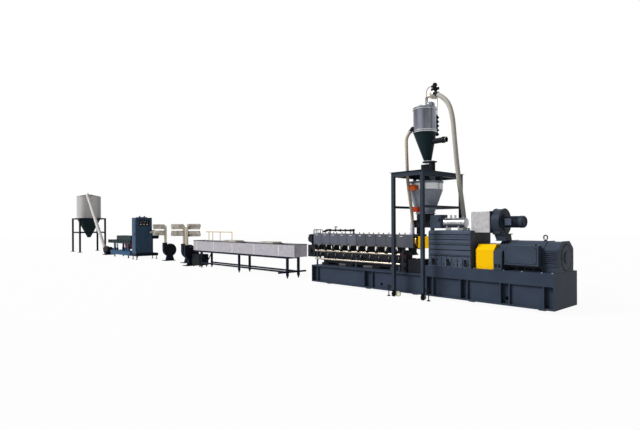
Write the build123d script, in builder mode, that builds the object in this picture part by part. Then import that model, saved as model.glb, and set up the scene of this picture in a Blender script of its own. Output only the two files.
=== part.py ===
"""Strand pelletizing line: extruder, feed tower, water trough, air knives, pelletizer, sieve, silo.

Millimetres, +Z up. The origin is on the floor under the middle of the extruder base.
The line runs along X: the drive motor is at the +X end and the pellet silo at the -X end.
The operator's side is -Y.
"""

import os

from math import radians, tan

from build123d import *

os.makedirs("parts", exist_ok=True)

# Shapes used again and again


def block(x_min, x_max, y_min, y_max, z_min, z_max, mode=Mode.ADD):
    """Add or cut a box given by its limits."""
    with Locations(((x_min + x_max) / 2, (y_min + y_max) / 2, (z_min + z_max) / 2)):
        Box(x_max - x_min, y_max - y_min, z_max - z_min, mode=mode)


def rod(start, end, radius, mode=Mode.ADD):
    """Add or cut a round bar between two points."""
    direction = Vector(*end) - Vector(*start)
    with Locations(Plane(origin=start, z_dir=direction)):
        Cylinder(radius, direction.length, align=(Align.CENTER, Align.CENTER, Align.MIN), mode=mode)


def taper(start, end, radius_start, radius_end, mode=Mode.ADD):
    """Add or cut a round bar whose radius changes along its length."""
    direction = Vector(*end) - Vector(*start)
    with Locations(Plane(origin=start, z_dir=direction)):
        Cone(radius_start, radius_end, direction.length,
             align=(Align.CENTER, Align.CENTER, Align.MIN), mode=mode)


def prism(points, plane, depth, mode=Mode.ADD):
    """Add or cut a straight-sided outline pushed out from its plane."""
    with BuildSketch(plane) as outline:
        Polygon(*points, align=None)
    extrude(outline.sketch, amount=depth, mode=mode)


# Extruder base

SKID_HEIGHT = 65
SKID_WIDTH = 120
SKID_HALF_LENGTH = 220
SKID_PITCH = 1400
BASE_LENGTH = 6274
BASE_WIDTH = 1034
BASE_LOW_HEIGHT = 443
BASE_DRIVE_HEIGHT = 639
BASE_BEAM_DEPTH = 229
DRIVE_START_X = 483
FLANGE = 32
PANEL_DEPTH = 45
NARROW_BAY_DEPTH = 90
RIB_THICKNESS = 22
LIFTING_HOLE_RADIUS = 34
LIFTING_HOLE_Z = 190

BASE_END_X = BASE_LENGTH / 2
BASE_FACE_Y = BASE_WIDTH / 2
BASE_TOP = SKID_HEIGHT + BASE_LOW_HEIGHT
DRIVE_TOP = SKID_HEIGHT + BASE_DRIVE_HEIGHT
BEAM_BOTTOM = DRIVE_TOP - BASE_BEAM_DEPTH

# Each station is a narrow bay between two upright ribs
STATIONS = [
    (-BASE_END_X, -2890),
    (-1260, -980),
    (510, 700),
    (1313, 1490),
    (2150, 2345),
    (2940, BASE_END_X),
]
LIFTING_HOLES_X = [-740, 2250]

with BuildPart() as extruder_base:
    block(-BASE_END_X, BASE_END_X, -BASE_FACE_Y, BASE_FACE_Y, SKID_HEIGHT, BASE_TOP)
    block(DRIVE_START_X, BASE_END_X, -BASE_FACE_Y, BASE_FACE_Y, BASE_TOP, DRIVE_TOP)
    for side in (-1, 1):
        for index, (bay_start, bay_end) in enumerate(STATIONS):
            top = BEAM_BOTTOM if bay_start > DRIVE_START_X else BASE_TOP - FLANGE
            inner = side * (BASE_FACE_Y - NARROW_BAY_DEPTH)
            outer = side * BASE_FACE_Y
            block(bay_start + RIB_THICKNESS, bay_end - RIB_THICKNESS, min(inner, outer),
                  max(inner, outer), SKID_HEIGHT + FLANGE, top, Mode.SUBTRACT)
            if index + 1 < len(STATIONS):
                panel_end = STATIONS[index + 1][0]
                inner = side * (BASE_FACE_Y - PANEL_DEPTH)
                top = BASE_TOP - FLANGE if panel_end < DRIVE_START_X + 50 else BEAM_BOTTOM
                block(bay_end, panel_end, min(inner, outer), max(inner, outer),
                      SKID_HEIGHT + FLANGE, top, Mode.SUBTRACT)
    for hole_x in LIFTING_HOLES_X:
        rod((hole_x, -BASE_FACE_Y, LIFTING_HOLE_Z), (hole_x, BASE_FACE_Y, LIFTING_HOLE_Z),
            LIFTING_HOLE_RADIUS, Mode.SUBTRACT)

extruder_base.part.label = "extruder_base"
export_step(extruder_base.part, "parts/extruder_base.step")

with BuildPart() as skid_beams:
    with GridLocations(SKID_PITCH, 0, 5, 1):
        Box(SKID_WIDTH, 2 * SKID_HALF_LENGTH, SKID_HEIGHT, align=(Align.CENTER, Align.CENTER, Align.MIN))

skid_beams.part.label = "skid_beams"
export_step(skid_beams.part, "parts/skid_beams.step")

# Gearbox

GEARBOX_LENGTH = 970
GEARBOX_WIDTH = 800
GEARBOX_HEIGHT = 741
GEARBOX_X = DRIVE_START_X + 100
GEARBOX_RIB_HEIGHTS = [238, 339, 478, 601]
GEARBOX_GROOVE = 14
GEARBOX_GROOVE_DEPTH = 12
POCKET = 70
POCKET_DEPTH = 60
FOOT_SLOTS = 12

GEARBOX_END_X = GEARBOX_X + GEARBOX_LENGTH
GEARBOX_TOP = DRIVE_TOP + GEARBOX_HEIGHT
GEARBOX_BACK_Y = GEARBOX_WIDTH - BASE_FACE_Y

with BuildPart() as gearbox:
    block(GEARBOX_X, GEARBOX_END_X, -BASE_FACE_Y, GEARBOX_BACK_Y, DRIVE_TOP, GEARBOX_TOP)
    top_edges = gearbox.edges().filter_by(Axis.X).group_by(Axis.Z)[-1]
    chamfer(top_edges, length=30)
    for height in GEARBOX_RIB_HEIGHTS:
        groove_z = DRIVE_TOP + height
        block(GEARBOX_X, GEARBOX_END_X, -BASE_FACE_Y, -BASE_FACE_Y + GEARBOX_GROOVE_DEPTH,
              groove_z, groove_z + GEARBOX_GROOVE, Mode.SUBTRACT)
    for pocket_x in (GEARBOX_X + 90, GEARBOX_X + GEARBOX_LENGTH / 2 - 60, GEARBOX_END_X - 150):
        block(pocket_x, pocket_x + POCKET, -BASE_FACE_Y, -BASE_FACE_Y + POCKET_DEPTH,
              DRIVE_TOP + 90, DRIVE_TOP + 90 + POCKET, Mode.SUBTRACT)
    slot_pitch = GEARBOX_LENGTH / FOOT_SLOTS
    for slot in range(FOOT_SLOTS):
        slot_x = GEARBOX_X + (slot + 0.5) * slot_pitch
        block(slot_x - 8, slot_x + 8, -BASE_FACE_Y, -BASE_FACE_Y + 25,
              DRIVE_TOP + 25, DRIVE_TOP + 80, Mode.SUBTRACT)

gearbox.part.label = "gearbox"
export_step(gearbox.part, "parts/gearbox.step")

COOLER_RADIUS = 100
COOLER_X = 790
COOLER_LENGTH = 375
COOLER_CAP_LENGTH = 90
COOLER_Y = -150
COOLER_Z = 1600

with BuildPart() as oil_cooler:
    cooler_end = COOLER_X + COOLER_LENGTH
    rod((COOLER_X, COOLER_Y, COOLER_Z), (cooler_end, COOLER_Y, COOLER_Z), COOLER_RADIUS)
    rod((COOLER_X - 15, COOLER_Y, COOLER_Z), (COOLER_X, COOLER_Y, COOLER_Z), COOLER_RADIUS + 12)
    for saddle_x in (COOLER_X + 30, cooler_end - 70):
        block(saddle_x, saddle_x + 35, COOLER_Y - 70, COOLER_Y + 70, GEARBOX_TOP, COOLER_Z - 40)
    for port_x in (COOLER_X + 110, COOLER_X + 210):
        rod((port_x, COOLER_Y, COOLER_Z), (port_x, COOLER_Y, COOLER_Z + 165), 22)

    rod((cooler_end, COOLER_Y, COOLER_Z), (cooler_end + 20, COOLER_Y, COOLER_Z), COOLER_RADIUS + 12)
    rod((cooler_end + 20, COOLER_Y, COOLER_Z), (cooler_end + COOLER_CAP_LENGTH, COOLER_Y, COOLER_Z),
        COOLER_RADIUS)

oil_cooler.part.label = "oil_cooler"
export_step(oil_cooler.part, "parts/oil_cooler.step")

# Coupling guard and main motor

GUARD_GAP = 30
GUARD_LENGTH = 330
GUARD_HALF_WIDTH = 440
GUARD_TOP_HALF_WIDTH = 325
GUARD_SHOULDER_Z = 1062
GUARD_TOP_Z = 1178

GUARD_X = GEARBOX_END_X + GUARD_GAP
GUARD_END_X = GUARD_X + GUARD_LENGTH

with BuildPart() as coupling_guard:
    half_outline = [(GUARD_HALF_WIDTH, DRIVE_TOP), (GUARD_HALF_WIDTH, GUARD_SHOULDER_Z),
                    (GUARD_TOP_HALF_WIDTH, GUARD_TOP_Z)]
    other_half = [(-y, z) for y, z in reversed(half_outline)]
    prism(half_outline + other_half, Plane.YZ.offset(GUARD_X), GUARD_LENGTH)

coupling_guard.part.label = "coupling_guard"
export_step(coupling_guard.part, "parts/coupling_guard.step")

MOTOR_X = GUARD_END_X + 10
MOTOR_LENGTH = 1160
MOTOR_Y = 30
MOTOR_HALF_WIDTH = 330
MOTOR_HEIGHT = 549
MOTOR_CHAMFER_Y = 170
MOTOR_CHAMFER_Z = 130
MOTOR_FOOT_HEIGHT = 40
MOTOR_WINDOW = 12

MOTOR_END_X = MOTOR_X + MOTOR_LENGTH
MOTOR_TOP = DRIVE_TOP + MOTOR_HEIGHT
MOTOR_FACE_Y = MOTOR_Y - MOTOR_HALF_WIDTH

with BuildPart() as main_motor:
    half_outline = [
        (MOTOR_HALF_WIDTH, DRIVE_TOP),
        (MOTOR_HALF_WIDTH, MOTOR_TOP - MOTOR_CHAMFER_Z),
        (MOTOR_HALF_WIDTH - MOTOR_CHAMFER_Y, MOTOR_TOP),
    ]
    motor_outline = [(MOTOR_Y + y, z) for y, z in half_outline]
    motor_outline += [(MOTOR_Y - y, z) for y, z in reversed(half_outline)]
    prism(motor_outline, Plane.YZ.offset(MOTOR_X), MOTOR_LENGTH)
    window_x = MOTOR_END_X - 265
    for side in (-1, 1):
        face_y = MOTOR_Y + side * MOTOR_HALF_WIDTH
        inner_y = face_y - side * 30
        block(window_x, window_x + 215, min(face_y, inner_y), max(face_y, inner_y),
              845, 1075, Mode.SUBTRACT)
        block(window_x, window_x + 240, min(face_y, inner_y), max(face_y, inner_y),
              DRIVE_TOP + 25, 820, Mode.SUBTRACT)
        block(MOTOR_X + 30, MOTOR_X + 120, min(face_y, inner_y), max(face_y, inner_y),
              DRIVE_TOP + 60, 820, Mode.SUBTRACT)
    rod((MOTOR_END_X, MOTOR_Y, 965), (MOTOR_END_X + 12, MOTOR_Y, 965), 190)

main_motor.part.label = "main_motor"
export_step(main_motor.part, "parts/main_motor.step")

TERMINAL_BOX_X = 2165
TERMINAL_BOX_LENGTH = 640
TERMINAL_BOX_BOTTOM = 795
TERMINAL_BOX_TOP = 1178
TERMINAL_BOX_FACE_Y = -430

with BuildPart() as motor_terminal_box:
    box_end_x = TERMINAL_BOX_X + TERMINAL_BOX_LENGTH
    block(TERMINAL_BOX_X, box_end_x, TERMINAL_BOX_FACE_Y, MOTOR_FACE_Y,
          TERMINAL_BOX_BOTTOM, MOTOR_TOP - MOTOR_CHAMFER_Z)
    block(TERMINAL_BOX_X, box_end_x, TERMINAL_BOX_FACE_Y, MOTOR_FACE_Y,
          MOTOR_TOP - MOTOR_CHAMFER_Z, TERMINAL_BOX_TOP)
    block(TERMINAL_BOX_X - 15, box_end_x + 15, TERMINAL_BOX_FACE_Y - 15, TERMINAL_BOX_FACE_Y,
          TERMINAL_BOX_BOTTOM - 15, TERMINAL_BOX_TOP + 10)

motor_terminal_box.part.label = "motor_terminal_box"
export_step(motor_terminal_box.part, "parts/motor_terminal_box.step")

# Cooling fan on top of the main motor

VENT_X = 1945
VENT_WIDTH = 140
VENT_RADIUS = 268
VENT_Y = 0
VENT_Z = 1612
VENT_FLANGE_Z = 1362
VENT_FLANGE = 16
VENT_FLANGE_HALF = 260
VENT_COLLAR = 20
VENT_MOTOR_LENGTH = 370
VENT_MOTOR_RADIUS = 112
FILTER_LENGTH = 365
FILTER_NEAR_Y = -430
FILTER_WIDTH = 620
FILTER_BOTTOM = 1400
FILTER_TOP = 1840

VOLUTE_BOTTOM = VENT_FLANGE_Z + VENT_FLANGE

with BuildPart() as fan_volute:
    duct_top_z = VENT_FLANGE_Z - VENT_FLANGE
    duct_x = VENT_X + 120
    with BuildSketch(Plane.XY.offset(MOTOR_TOP)):
        with Locations((duct_x + 60, MOTOR_Y)):
            Rectangle(420, 300)
    with BuildSketch(Plane.XY.offset(duct_top_z)):
        with Locations((duct_x, MOTOR_Y)):
            Rectangle(380, 420)
    loft()
    block(duct_x - 210, duct_x + 210, MOTOR_Y - VENT_FLANGE_HALF, MOTOR_Y + VENT_FLANGE_HALF,
          duct_top_z, VENT_FLANGE_Z + VENT_FLANGE)

    rod((VENT_X, VENT_Y, VENT_Z), (VENT_X + VENT_WIDTH, VENT_Y, VENT_Z), VENT_RADIUS - 40)
    block(VENT_X, VENT_X + VENT_WIDTH, VENT_Y - 200, VENT_Y + VENT_RADIUS - 40,
          VOLUTE_BOTTOM, VENT_Z)
    for rim_x in (VENT_X, VENT_X + VENT_WIDTH - 14):
        rod((rim_x, VENT_Y, VENT_Z), (rim_x + 14, VENT_Y, VENT_Z), VENT_RADIUS - 22)
    block(VENT_X - VENT_COLLAR, VENT_X, -180, 180, VENT_Z - 180, VENT_Z + 180)

fan_volute.part.label = "fan_volute"
export_step(fan_volute.part, "parts/fan_volute.step")

with BuildPart() as fan_motor:
    fan_motor_x = VENT_X + VENT_WIDTH
    rod((fan_motor_x, VENT_Y, VENT_Z), (fan_motor_x + 16, VENT_Y, VENT_Z), 165)
    rod((fan_motor_x + 16, VENT_Y, VENT_Z), (fan_motor_x + VENT_MOTOR_LENGTH, VENT_Y, VENT_Z),
        VENT_MOTOR_RADIUS)
    block(fan_motor_x + 60, fan_motor_x + 190, -155, -80, VENT_Z - 50, VENT_Z + 60)

fan_motor.part.label = "fan_motor"
export_step(fan_motor.part, "parts/fan_motor.step")

with BuildPart() as fan_filter_box:
    filter_end_x = VENT_X - VENT_COLLAR
    block(filter_end_x - FILTER_LENGTH, filter_end_x, FILTER_NEAR_Y, FILTER_NEAR_Y + FILTER_WIDTH,
          FILTER_BOTTOM, FILTER_TOP)
    chamfer(fan_filter_box.edges().filter_by(Axis.X), length=14)

fan_filter_box.part.label = "fan_filter_box"
export_step(fan_filter_box.part, "parts/fan_filter_box.step")

# Barrels, covers and what carries them

SCREW_Z = 1190
BARREL_PITCH = 322
BARREL_COUNT = 10
BARREL_X = -3400
BARREL_HALF = 85
BARREL_FLANGE_HALF = 112
BARREL_FLANGE = 30
COVER_HALF_WIDTH = 215
COVER_BOTTOM = 1040
COVER_TOP = 1338
COVER_SHEET = 8
COVER_SEAM = 8
COVER_REST = 40
LEFT_COVERS = 5

BARREL_END_X = BARREL_X + BARREL_PITCH * BARREL_COUNT

with BuildPart() as barrels:
    for barrel in range(BARREL_COUNT):
        start_x = BARREL_X + barrel * BARREL_PITCH
        block(start_x + BARREL_FLANGE, start_x + BARREL_PITCH - BARREL_FLANGE,
              -BARREL_HALF, BARREL_HALF, SCREW_Z - BARREL_HALF, SCREW_Z + BARREL_HALF)
        for flange_x in (start_x, start_x + BARREL_PITCH - BARREL_FLANGE):
            block(flange_x, flange_x + BARREL_FLANGE, -BARREL_FLANGE_HALF, BARREL_FLANGE_HALF,
                  SCREW_Z - BARREL_FLANGE_HALF, SCREW_Z + BARREL_FLANGE_HALF)
        block(start_x, start_x + BARREL_FLANGE, -COVER_REST, COVER_REST,
              SCREW_Z + BARREL_FLANGE_HALF, COVER_TOP - COVER_SHEET)

barrels.part.label = "barrels"
export_step(barrels.part, "parts/barrels.step")


def cover_shell(start_x):
    """One sheet cover, open below, with its handle slot near the upper edge."""
    end_x = start_x + BARREL_PITCH - COVER_SEAM
    block(start_x, end_x, -COVER_HALF_WIDTH, COVER_HALF_WIDTH, COVER_BOTTOM, COVER_TOP)
    block(start_x, end_x, COVER_SHEET - COVER_HALF_WIDTH, COVER_HALF_WIDTH - COVER_SHEET,
          COVER_BOTTOM, COVER_TOP - COVER_SHEET, Mode.SUBTRACT)


with BuildPart() as barrel_covers_left:
    for cover in range(LEFT_COVERS):
        cover_shell(BARREL_X + cover * BARREL_PITCH)

barrel_covers_left.part.label = "barrel_covers_left"
export_step(barrel_covers_left.part, "parts/barrel_covers_left.step")

with BuildPart() as barrel_covers_right:
    for cover in range(LEFT_COVERS, BARREL_COUNT):
        cover_shell(BARREL_X + cover * BARREL_PITCH)

barrel_covers_right.part.label = "barrel_covers_right"
export_step(barrel_covers_right.part, "parts/barrel_covers_right.step")

SUPPORT_PITCH = 3 * BARREL_PITCH
SUPPORT_FOOT = 24

with BuildPart() as barrel_supports:
    for station in range(4):
        support_x = BARREL_X + 1.05 * BARREL_PITCH + station * (SUPPORT_PITCH - 90)
        block(support_x - 90, support_x + 90, -230, 230, BASE_TOP, BASE_TOP + SUPPORT_FOOT)
        block(support_x - 16, support_x + 16, -150, 150, BASE_TOP + SUPPORT_FOOT,
              SCREW_Z - BARREL_FLANGE_HALF - 30)
        block(support_x - 70, support_x + 70, -100, 100,
              SCREW_Z - BARREL_FLANGE_HALF - 30, SCREW_Z - BARREL_FLANGE_HALF)

barrel_supports.part.label = "barrel_supports"
export_step(barrel_supports.part, "parts/barrel_supports.step")

# Lantern between the barrels and the gearbox

LANTERN_GUARD_X = 130
LANTERN_GUARD_LENGTH = 290
LANTERN_GUARD_BOTTOM = 1050
LANTERN_GUARD_TOP = 1308
PORT_PLATE = 52
LANTERN_HALF = COVER_TOP + 12 - PORT_PLATE - SCREW_Z

with BuildPart() as lantern:
    block(BARREL_END_X, BARREL_END_X + 60, -LANTERN_HALF, LANTERN_HALF,
          SCREW_Z - LANTERN_HALF, SCREW_Z + LANTERN_HALF)
    rod((BARREL_END_X + 60, 0, SCREW_Z), (GEARBOX_X - 40, 0, SCREW_Z), 105)
    block(GEARBOX_X - 40, GEARBOX_X, -190, 190, SCREW_Z - 190, SCREW_Z + 190)

lantern.part.label = "lantern"
export_step(lantern.part, "parts/lantern.step")

with BuildPart() as lantern_guard:
    guard_end = LANTERN_GUARD_X + LANTERN_GUARD_LENGTH
    block(LANTERN_GUARD_X, guard_end, -COVER_HALF_WIDTH, COVER_HALF_WIDTH,
          LANTERN_GUARD_BOTTOM, LANTERN_GUARD_TOP)
    block(LANTERN_GUARD_X, guard_end, -105, 105, LANTERN_GUARD_BOTTOM, SCREW_Z, Mode.SUBTRACT)
    rod((LANTERN_GUARD_X, 0, SCREW_Z), (guard_end, 0, SCREW_Z), 105, Mode.SUBTRACT)

lantern_guard.part.label = "lantern_guard"
export_step(lantern_guard.part, "parts/lantern_guard.step")

# Cooling water for the barrels

MANIFOLD_Y = -415
MANIFOLD_RADIUS = 26
MANIFOLD_UPPER_Z = 895
MANIFOLD_LOWER_Z = 677
MANIFOLD_START_X = -3100
MANIFOLD_END_X = -226
MANIFOLD_POST_X = [-3060, -1300, -420]

with BuildPart() as water_manifolds:
    for pipe_z in (MANIFOLD_UPPER_Z, MANIFOLD_LOWER_Z):
        rod((MANIFOLD_START_X, MANIFOLD_Y, pipe_z), (MANIFOLD_END_X, MANIFOLD_Y, pipe_z),
            MANIFOLD_RADIUS)

    for post_x in MANIFOLD_POST_X:
        block(post_x - 20, post_x + 20, MANIFOLD_Y + 15, MANIFOLD_Y + MANIFOLD_RADIUS + 30,
              BASE_TOP, 1020)
        block(post_x - 60, post_x + 60, MANIFOLD_Y - 10, MANIFOLD_Y + MANIFOLD_RADIUS + 80,
              BASE_TOP, BASE_TOP + 12)

water_manifolds.part.label = "water_manifolds"
export_step(water_manifolds.part, "parts/water_manifolds.step")

with BuildPart() as barrel_water_lines:
    for barrel in range(1, BARREL_COUNT - 1):
        line_x = BARREL_X + (barrel + 0.35) * BARREL_PITCH
        block(line_x - 32, line_x + 32, MANIFOLD_Y - 30, MANIFOLD_Y + 30,
              MANIFOLD_UPPER_Z + MANIFOLD_RADIUS, MANIFOLD_UPPER_Z + 95)
        rod((line_x, MANIFOLD_Y, MANIFOLD_UPPER_Z + 95), (line_x, MANIFOLD_Y, 1075), 11)
        rod((line_x, MANIFOLD_Y, 1064), (line_x, -COVER_HALF_WIDTH, 1064), 11)

barrel_water_lines.part.label = "barrel_water_lines"
export_step(barrel_water_lines.part, "parts/barrel_water_lines.step")

VALVE_X = -160

with BuildPart() as water_valves:
    rod((MANIFOLD_END_X, MANIFOLD_Y, MANIFOLD_UPPER_Z), (VALVE_X, MANIFOLD_Y, MANIFOLD_UPPER_Z), 40)
    rod((MANIFOLD_END_X, MANIFOLD_Y, MANIFOLD_LOWER_Z), (VALVE_X, MANIFOLD_Y, MANIFOLD_LOWER_Z), 40)
    block(VALVE_X, VALVE_X + 120, MANIFOLD_Y - 50, MANIFOLD_Y + 50, BASE_TOP, 1000)
    for valve_z in (620, 790, 960):
        rod((VALVE_X + 60, MANIFOLD_Y - 95, valve_z), (VALVE_X + 60, MANIFOLD_Y - 50, valve_z), 38)

water_valves.part.label = "water_valves"
export_step(water_valves.part, "parts/water_valves.step")

TANK_X = -30
TANK_LENGTH = 330

with BuildPart() as soft_water_tank:
    block(TANK_X, TANK_X + TANK_LENGTH, -430, 60, BASE_TOP, 800)
    with BuildSketch(Plane.XY.offset(800)):
        with Locations((TANK_X + 90, -300), (TANK_X + 230, -300)):
            Circle(45)
    extrude(amount=25)

soft_water_tank.part.label = "soft_water_tank"
export_step(soft_water_tank.part, "parts/soft_water_tank.step")

# Die head at the outlet end

DIE_WIDTH = 420
DIE_X = BARREL_X - 150

with BuildPart() as die_head:
    block(BARREL_X - 60, BARREL_X, -140, 140, SCREW_Z - 120, SCREW_Z + 120)
    die_outline = [(BARREL_X - 60, SCREW_Z + 110), (DIE_X, SCREW_Z + 60), (DIE_X, SCREW_Z - 170),
                   (BARREL_X - 60, SCREW_Z - 120)]
    with BuildSketch(Plane.XZ.offset(-DIE_WIDTH / 2)):
        Polygon(*die_outline, align=None)
    extrude(amount=DIE_WIDTH)

    block(DIE_X - 50, DIE_X, -DIE_WIDTH / 2, DIE_WIDTH / 2, SCREW_Z - 230, SCREW_Z - 40)

die_head.part.label = "die_head"
export_step(die_head.part, "parts/die_head.step")

# Vent and pressure piping over the covers

with BuildPart() as vent_piping:
    pipe_z = 1450
    for post_x in (-2750, -2080):
        rod((post_x, 0, COVER_TOP), (post_x, 0, pipe_z), 22)
    rod((-2750, 0, pipe_z), (-2080, 0, pipe_z), 24)
    for ball_x in (-3330, -3060):
        rod((ball_x, 0, COVER_TOP), (ball_x, 0, COVER_TOP + 60), 18)
        block(ball_x - 40, ball_x + 40, -30, 30, COVER_TOP + 60, COVER_TOP + 110)

vent_piping.part.label = "vent_piping"
export_step(vent_piping.part, "parts/vent_piping.step")

# Platform tower over the feed port, and the hopper that hangs in it

HOPPER_X = 149
HOPPER_RADIUS = 384
HOPPER_SHEET = 6
HOPPER_TOP = 2513
HOPPER_CONE_TOP = 2331
HOPPER_OUTLET_Z = 1805
HOPPER_OUTLET_RADIUS = 195
HOPPER_LID_TOP = 2570
SENSOR_BOSS = 70
SENSOR_BOSSES = [(2440, HOPPER_RADIUS - 5), (1930, 240)]

POST = 70
TOWER_LEFT_X = -147
TOWER_RIGHT_X = 613
TOWER_NEAR_Y = -767
TOWER_FAR_Y = 703
TOWER_TOP = 2705
DECK_BEAM = 100
MID_RAIL_Z = 1925
WHEEL_RADIUS = 62
WHEEL_WIDTH = 32
CASTER_HEIGHT = 150
JACK_REACH = 140
JACK_PAD_RADIUS = 38

POST_POINTS = [(x, y) for x in (TOWER_LEFT_X, TOWER_RIGHT_X) for y in (TOWER_NEAR_Y, TOWER_FAR_Y)]
DECK_BOTTOM = TOWER_TOP - DECK_BEAM

with BuildPart() as tower_frame:
    for post_x, post_y in POST_POINTS:
        block(post_x - POST / 2, post_x + POST / 2, post_y - POST / 2, post_y + POST / 2,
              CASTER_HEIGHT, DECK_BOTTOM)
    for rail_x in (TOWER_LEFT_X, TOWER_RIGHT_X):
        block(rail_x - 25, rail_x + 25, TOWER_NEAR_Y + POST / 2, TOWER_FAR_Y - POST / 2,
              MID_RAIL_Z, MID_RAIL_Z + 50)
        block(rail_x - POST / 2, rail_x + POST / 2, TOWER_NEAR_Y - POST / 2, TOWER_FAR_Y + POST / 2,
              DECK_BOTTOM, TOWER_TOP - 8)
    for rail_y in (TOWER_NEAR_Y, TOWER_FAR_Y):
        block(TOWER_LEFT_X + POST / 2, TOWER_RIGHT_X - POST / 2, rail_y - POST / 2, rail_y + POST / 2,
              DECK_BOTTOM, TOWER_TOP - 8)
    block(TOWER_LEFT_X + POST / 2, TOWER_RIGHT_X - POST / 2, TOWER_FAR_Y - 25, TOWER_FAR_Y + 25,
          MID_RAIL_Z, MID_RAIL_Z + 50)

    for hanger_start, hanger_end in ((TOWER_LEFT_X - 20, TOWER_LEFT_X + 30), (530, TOWER_RIGHT_X - POST / 2)):
        block(hanger_start, hanger_end, -30, 30, HOPPER_TOP + 12, DECK_BOTTOM)
    block(530, TOWER_RIGHT_X - POST / 2, -30, 30, DECK_BOTTOM, DECK_BOTTOM + 40)

tower_frame.part.label = "tower_frame"
export_step(tower_frame.part, "parts/tower_frame.step")

LOADER_OUTLET_X = 330
LOADER_OUTLET_RADIUS = 68
DECK_HOLE_RADIUS = 100
HOSE_HOLE_RADIUS = 58

with BuildPart() as tower_deck:
    block(TOWER_LEFT_X - 60, TOWER_RIGHT_X + 60, TOWER_NEAR_Y - 60, TOWER_FAR_Y + 60,
          TOWER_TOP - 8, TOWER_TOP)
    rod((LOADER_OUTLET_X, 0, TOWER_TOP - 8), (LOADER_OUTLET_X, 0, TOWER_TOP), DECK_HOLE_RADIUS,
        Mode.SUBTRACT)
    rod((-8, -450, TOWER_TOP - 8), (-8, -450, TOWER_TOP), HOSE_HOLE_RADIUS, Mode.SUBTRACT)

tower_deck.part.label = "tower_deck"
export_step(tower_deck.part, "parts/tower_deck.step")

with BuildPart() as tower_feet:
    for post_x, post_y in POST_POINTS:
        rod((post_x - WHEEL_WIDTH / 2, post_y, WHEEL_RADIUS),
            (post_x + WHEEL_WIDTH / 2, post_y, WHEEL_RADIUS), WHEEL_RADIUS)
        for cheek in (-1, 1):
            cheek_x = post_x + cheek * (WHEEL_WIDTH / 2 + 4)
            block(cheek_x - 4, cheek_x + 4, post_y - 22, post_y + 22, WHEEL_RADIUS - 20, CASTER_HEIGHT)
        block(post_x - 28, post_x + 28, post_y - 35, post_y + 35, CASTER_HEIGHT - 12, CASTER_HEIGHT)

    for post_x, post_y in POST_POINTS:
        outward = -1 if post_x == TOWER_LEFT_X else 1
        jack_x = post_x + outward * JACK_REACH
        face_x = post_x + outward * POST / 2
        block(min(face_x, jack_x) - (20 if outward < 0 else 0), max(face_x, jack_x) + (20 if outward > 0 else 0),
              post_y - 20, post_y + 20, 190, 225)
        rod((jack_x, post_y, 16), (jack_x, post_y, 260), 11)
        rod((jack_x, post_y, 0), (jack_x, post_y, 16), JACK_PAD_RADIUS)

tower_feet.part.label = "tower_feet"
export_step(tower_feet.part, "parts/tower_feet.step")

# Hopper, level sensors and feeder

with BuildPart() as hopper:
    with BuildSketch(Plane.XZ):
        with BuildLine():
            Polyline((HOPPER_OUTLET_RADIUS, HOPPER_OUTLET_Z), (HOPPER_RADIUS, HOPPER_CONE_TOP),
                     (HOPPER_RADIUS, HOPPER_TOP), (HOPPER_RADIUS - HOPPER_SHEET, HOPPER_TOP),
                     (HOPPER_RADIUS - HOPPER_SHEET, HOPPER_CONE_TOP),
                     (HOPPER_OUTLET_RADIUS - HOPPER_SHEET, HOPPER_OUTLET_Z), close=True)
        make_face()
    revolve(axis=Axis.Z)
    for boss_z, boss_inner in SENSOR_BOSSES:
        block(-SENSOR_BOSS / 2, SENSOR_BOSS / 2, -HOPPER_RADIUS - 12, -boss_inner,
              boss_z - SENSOR_BOSS / 2, boss_z + SENSOR_BOSS / 2)
hopper.part = hopper.part.moved(Location((HOPPER_X, 0, 0)))

hopper.part.label = "hopper"
export_step(hopper.part, "parts/hopper.step")

with BuildPart() as hopper_lid:
    rod((HOPPER_X, 0, HOPPER_TOP), (HOPPER_X, 0, HOPPER_TOP + 12), HOPPER_RADIUS + 18)
    taper((HOPPER_X, 0, HOPPER_TOP + 12), (HOPPER_X, 0, HOPPER_LID_TOP), HOPPER_RADIUS - 140, 120)
    rod((LOADER_OUTLET_X, 0, HOPPER_TOP + 12), (LOADER_OUTLET_X, 0, TOWER_TOP + 40),
        LOADER_OUTLET_RADIUS)

hopper_lid.part.label = "hopper_lid"
export_step(hopper_lid.part, "parts/hopper_lid.step")

with BuildPart() as level_sensors:
    sensor_y = -HOPPER_RADIUS - 12
    for boss_z, boss_inner in SENSOR_BOSSES:
        block(HOPPER_X - 70, HOPPER_X + 70, sensor_y - 110, sensor_y, boss_z - 62, boss_z + 62)

level_sensors.part.label = "level_sensors"
export_step(level_sensors.part, "parts/level_sensors.step")

FEEDER_TOP = HOPPER_OUTLET_Z
FEEDER_BOTTOM = 1500
FEEDER_DRIVE_X = 350
SPOUT_X = -10
PORT_TOP = COVER_TOP + 12

with BuildPart() as feeder:
    rod((HOPPER_X, 0, FEEDER_BOTTOM + 170), (HOPPER_X, 0, FEEDER_TOP), HOPPER_OUTLET_RADIUS)
    block(SPOUT_X - 80, FEEDER_DRIVE_X, -110, 110, FEEDER_BOTTOM, FEEDER_BOTTOM + 170)

    rod((SPOUT_X, 0, PORT_TOP), (SPOUT_X, 0, FEEDER_BOTTOM), 70)
    block(SPOUT_X - 150, SPOUT_X + 110, -200, 110, PORT_TOP - PORT_PLATE, PORT_TOP)
    rod((-100, -155, PORT_TOP), (-100, -155, 1600), 42)

feeder.part.label = "feeder"
export_step(feeder.part, "parts/feeder.step")

with BuildPart() as feeder_drive:
    block(FEEDER_DRIVE_X, FEEDER_DRIVE_X + 270, -120, 150, 1485, 1779)
    rod((560, -60, 1690), (560, -150, 1690), 40)

feeder_drive.part.label = "feeder_drive"
export_step(feeder_drive.part, "parts/feeder_drive.step")

# Routes of the two loader hoses, which hang free between their ends


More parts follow.
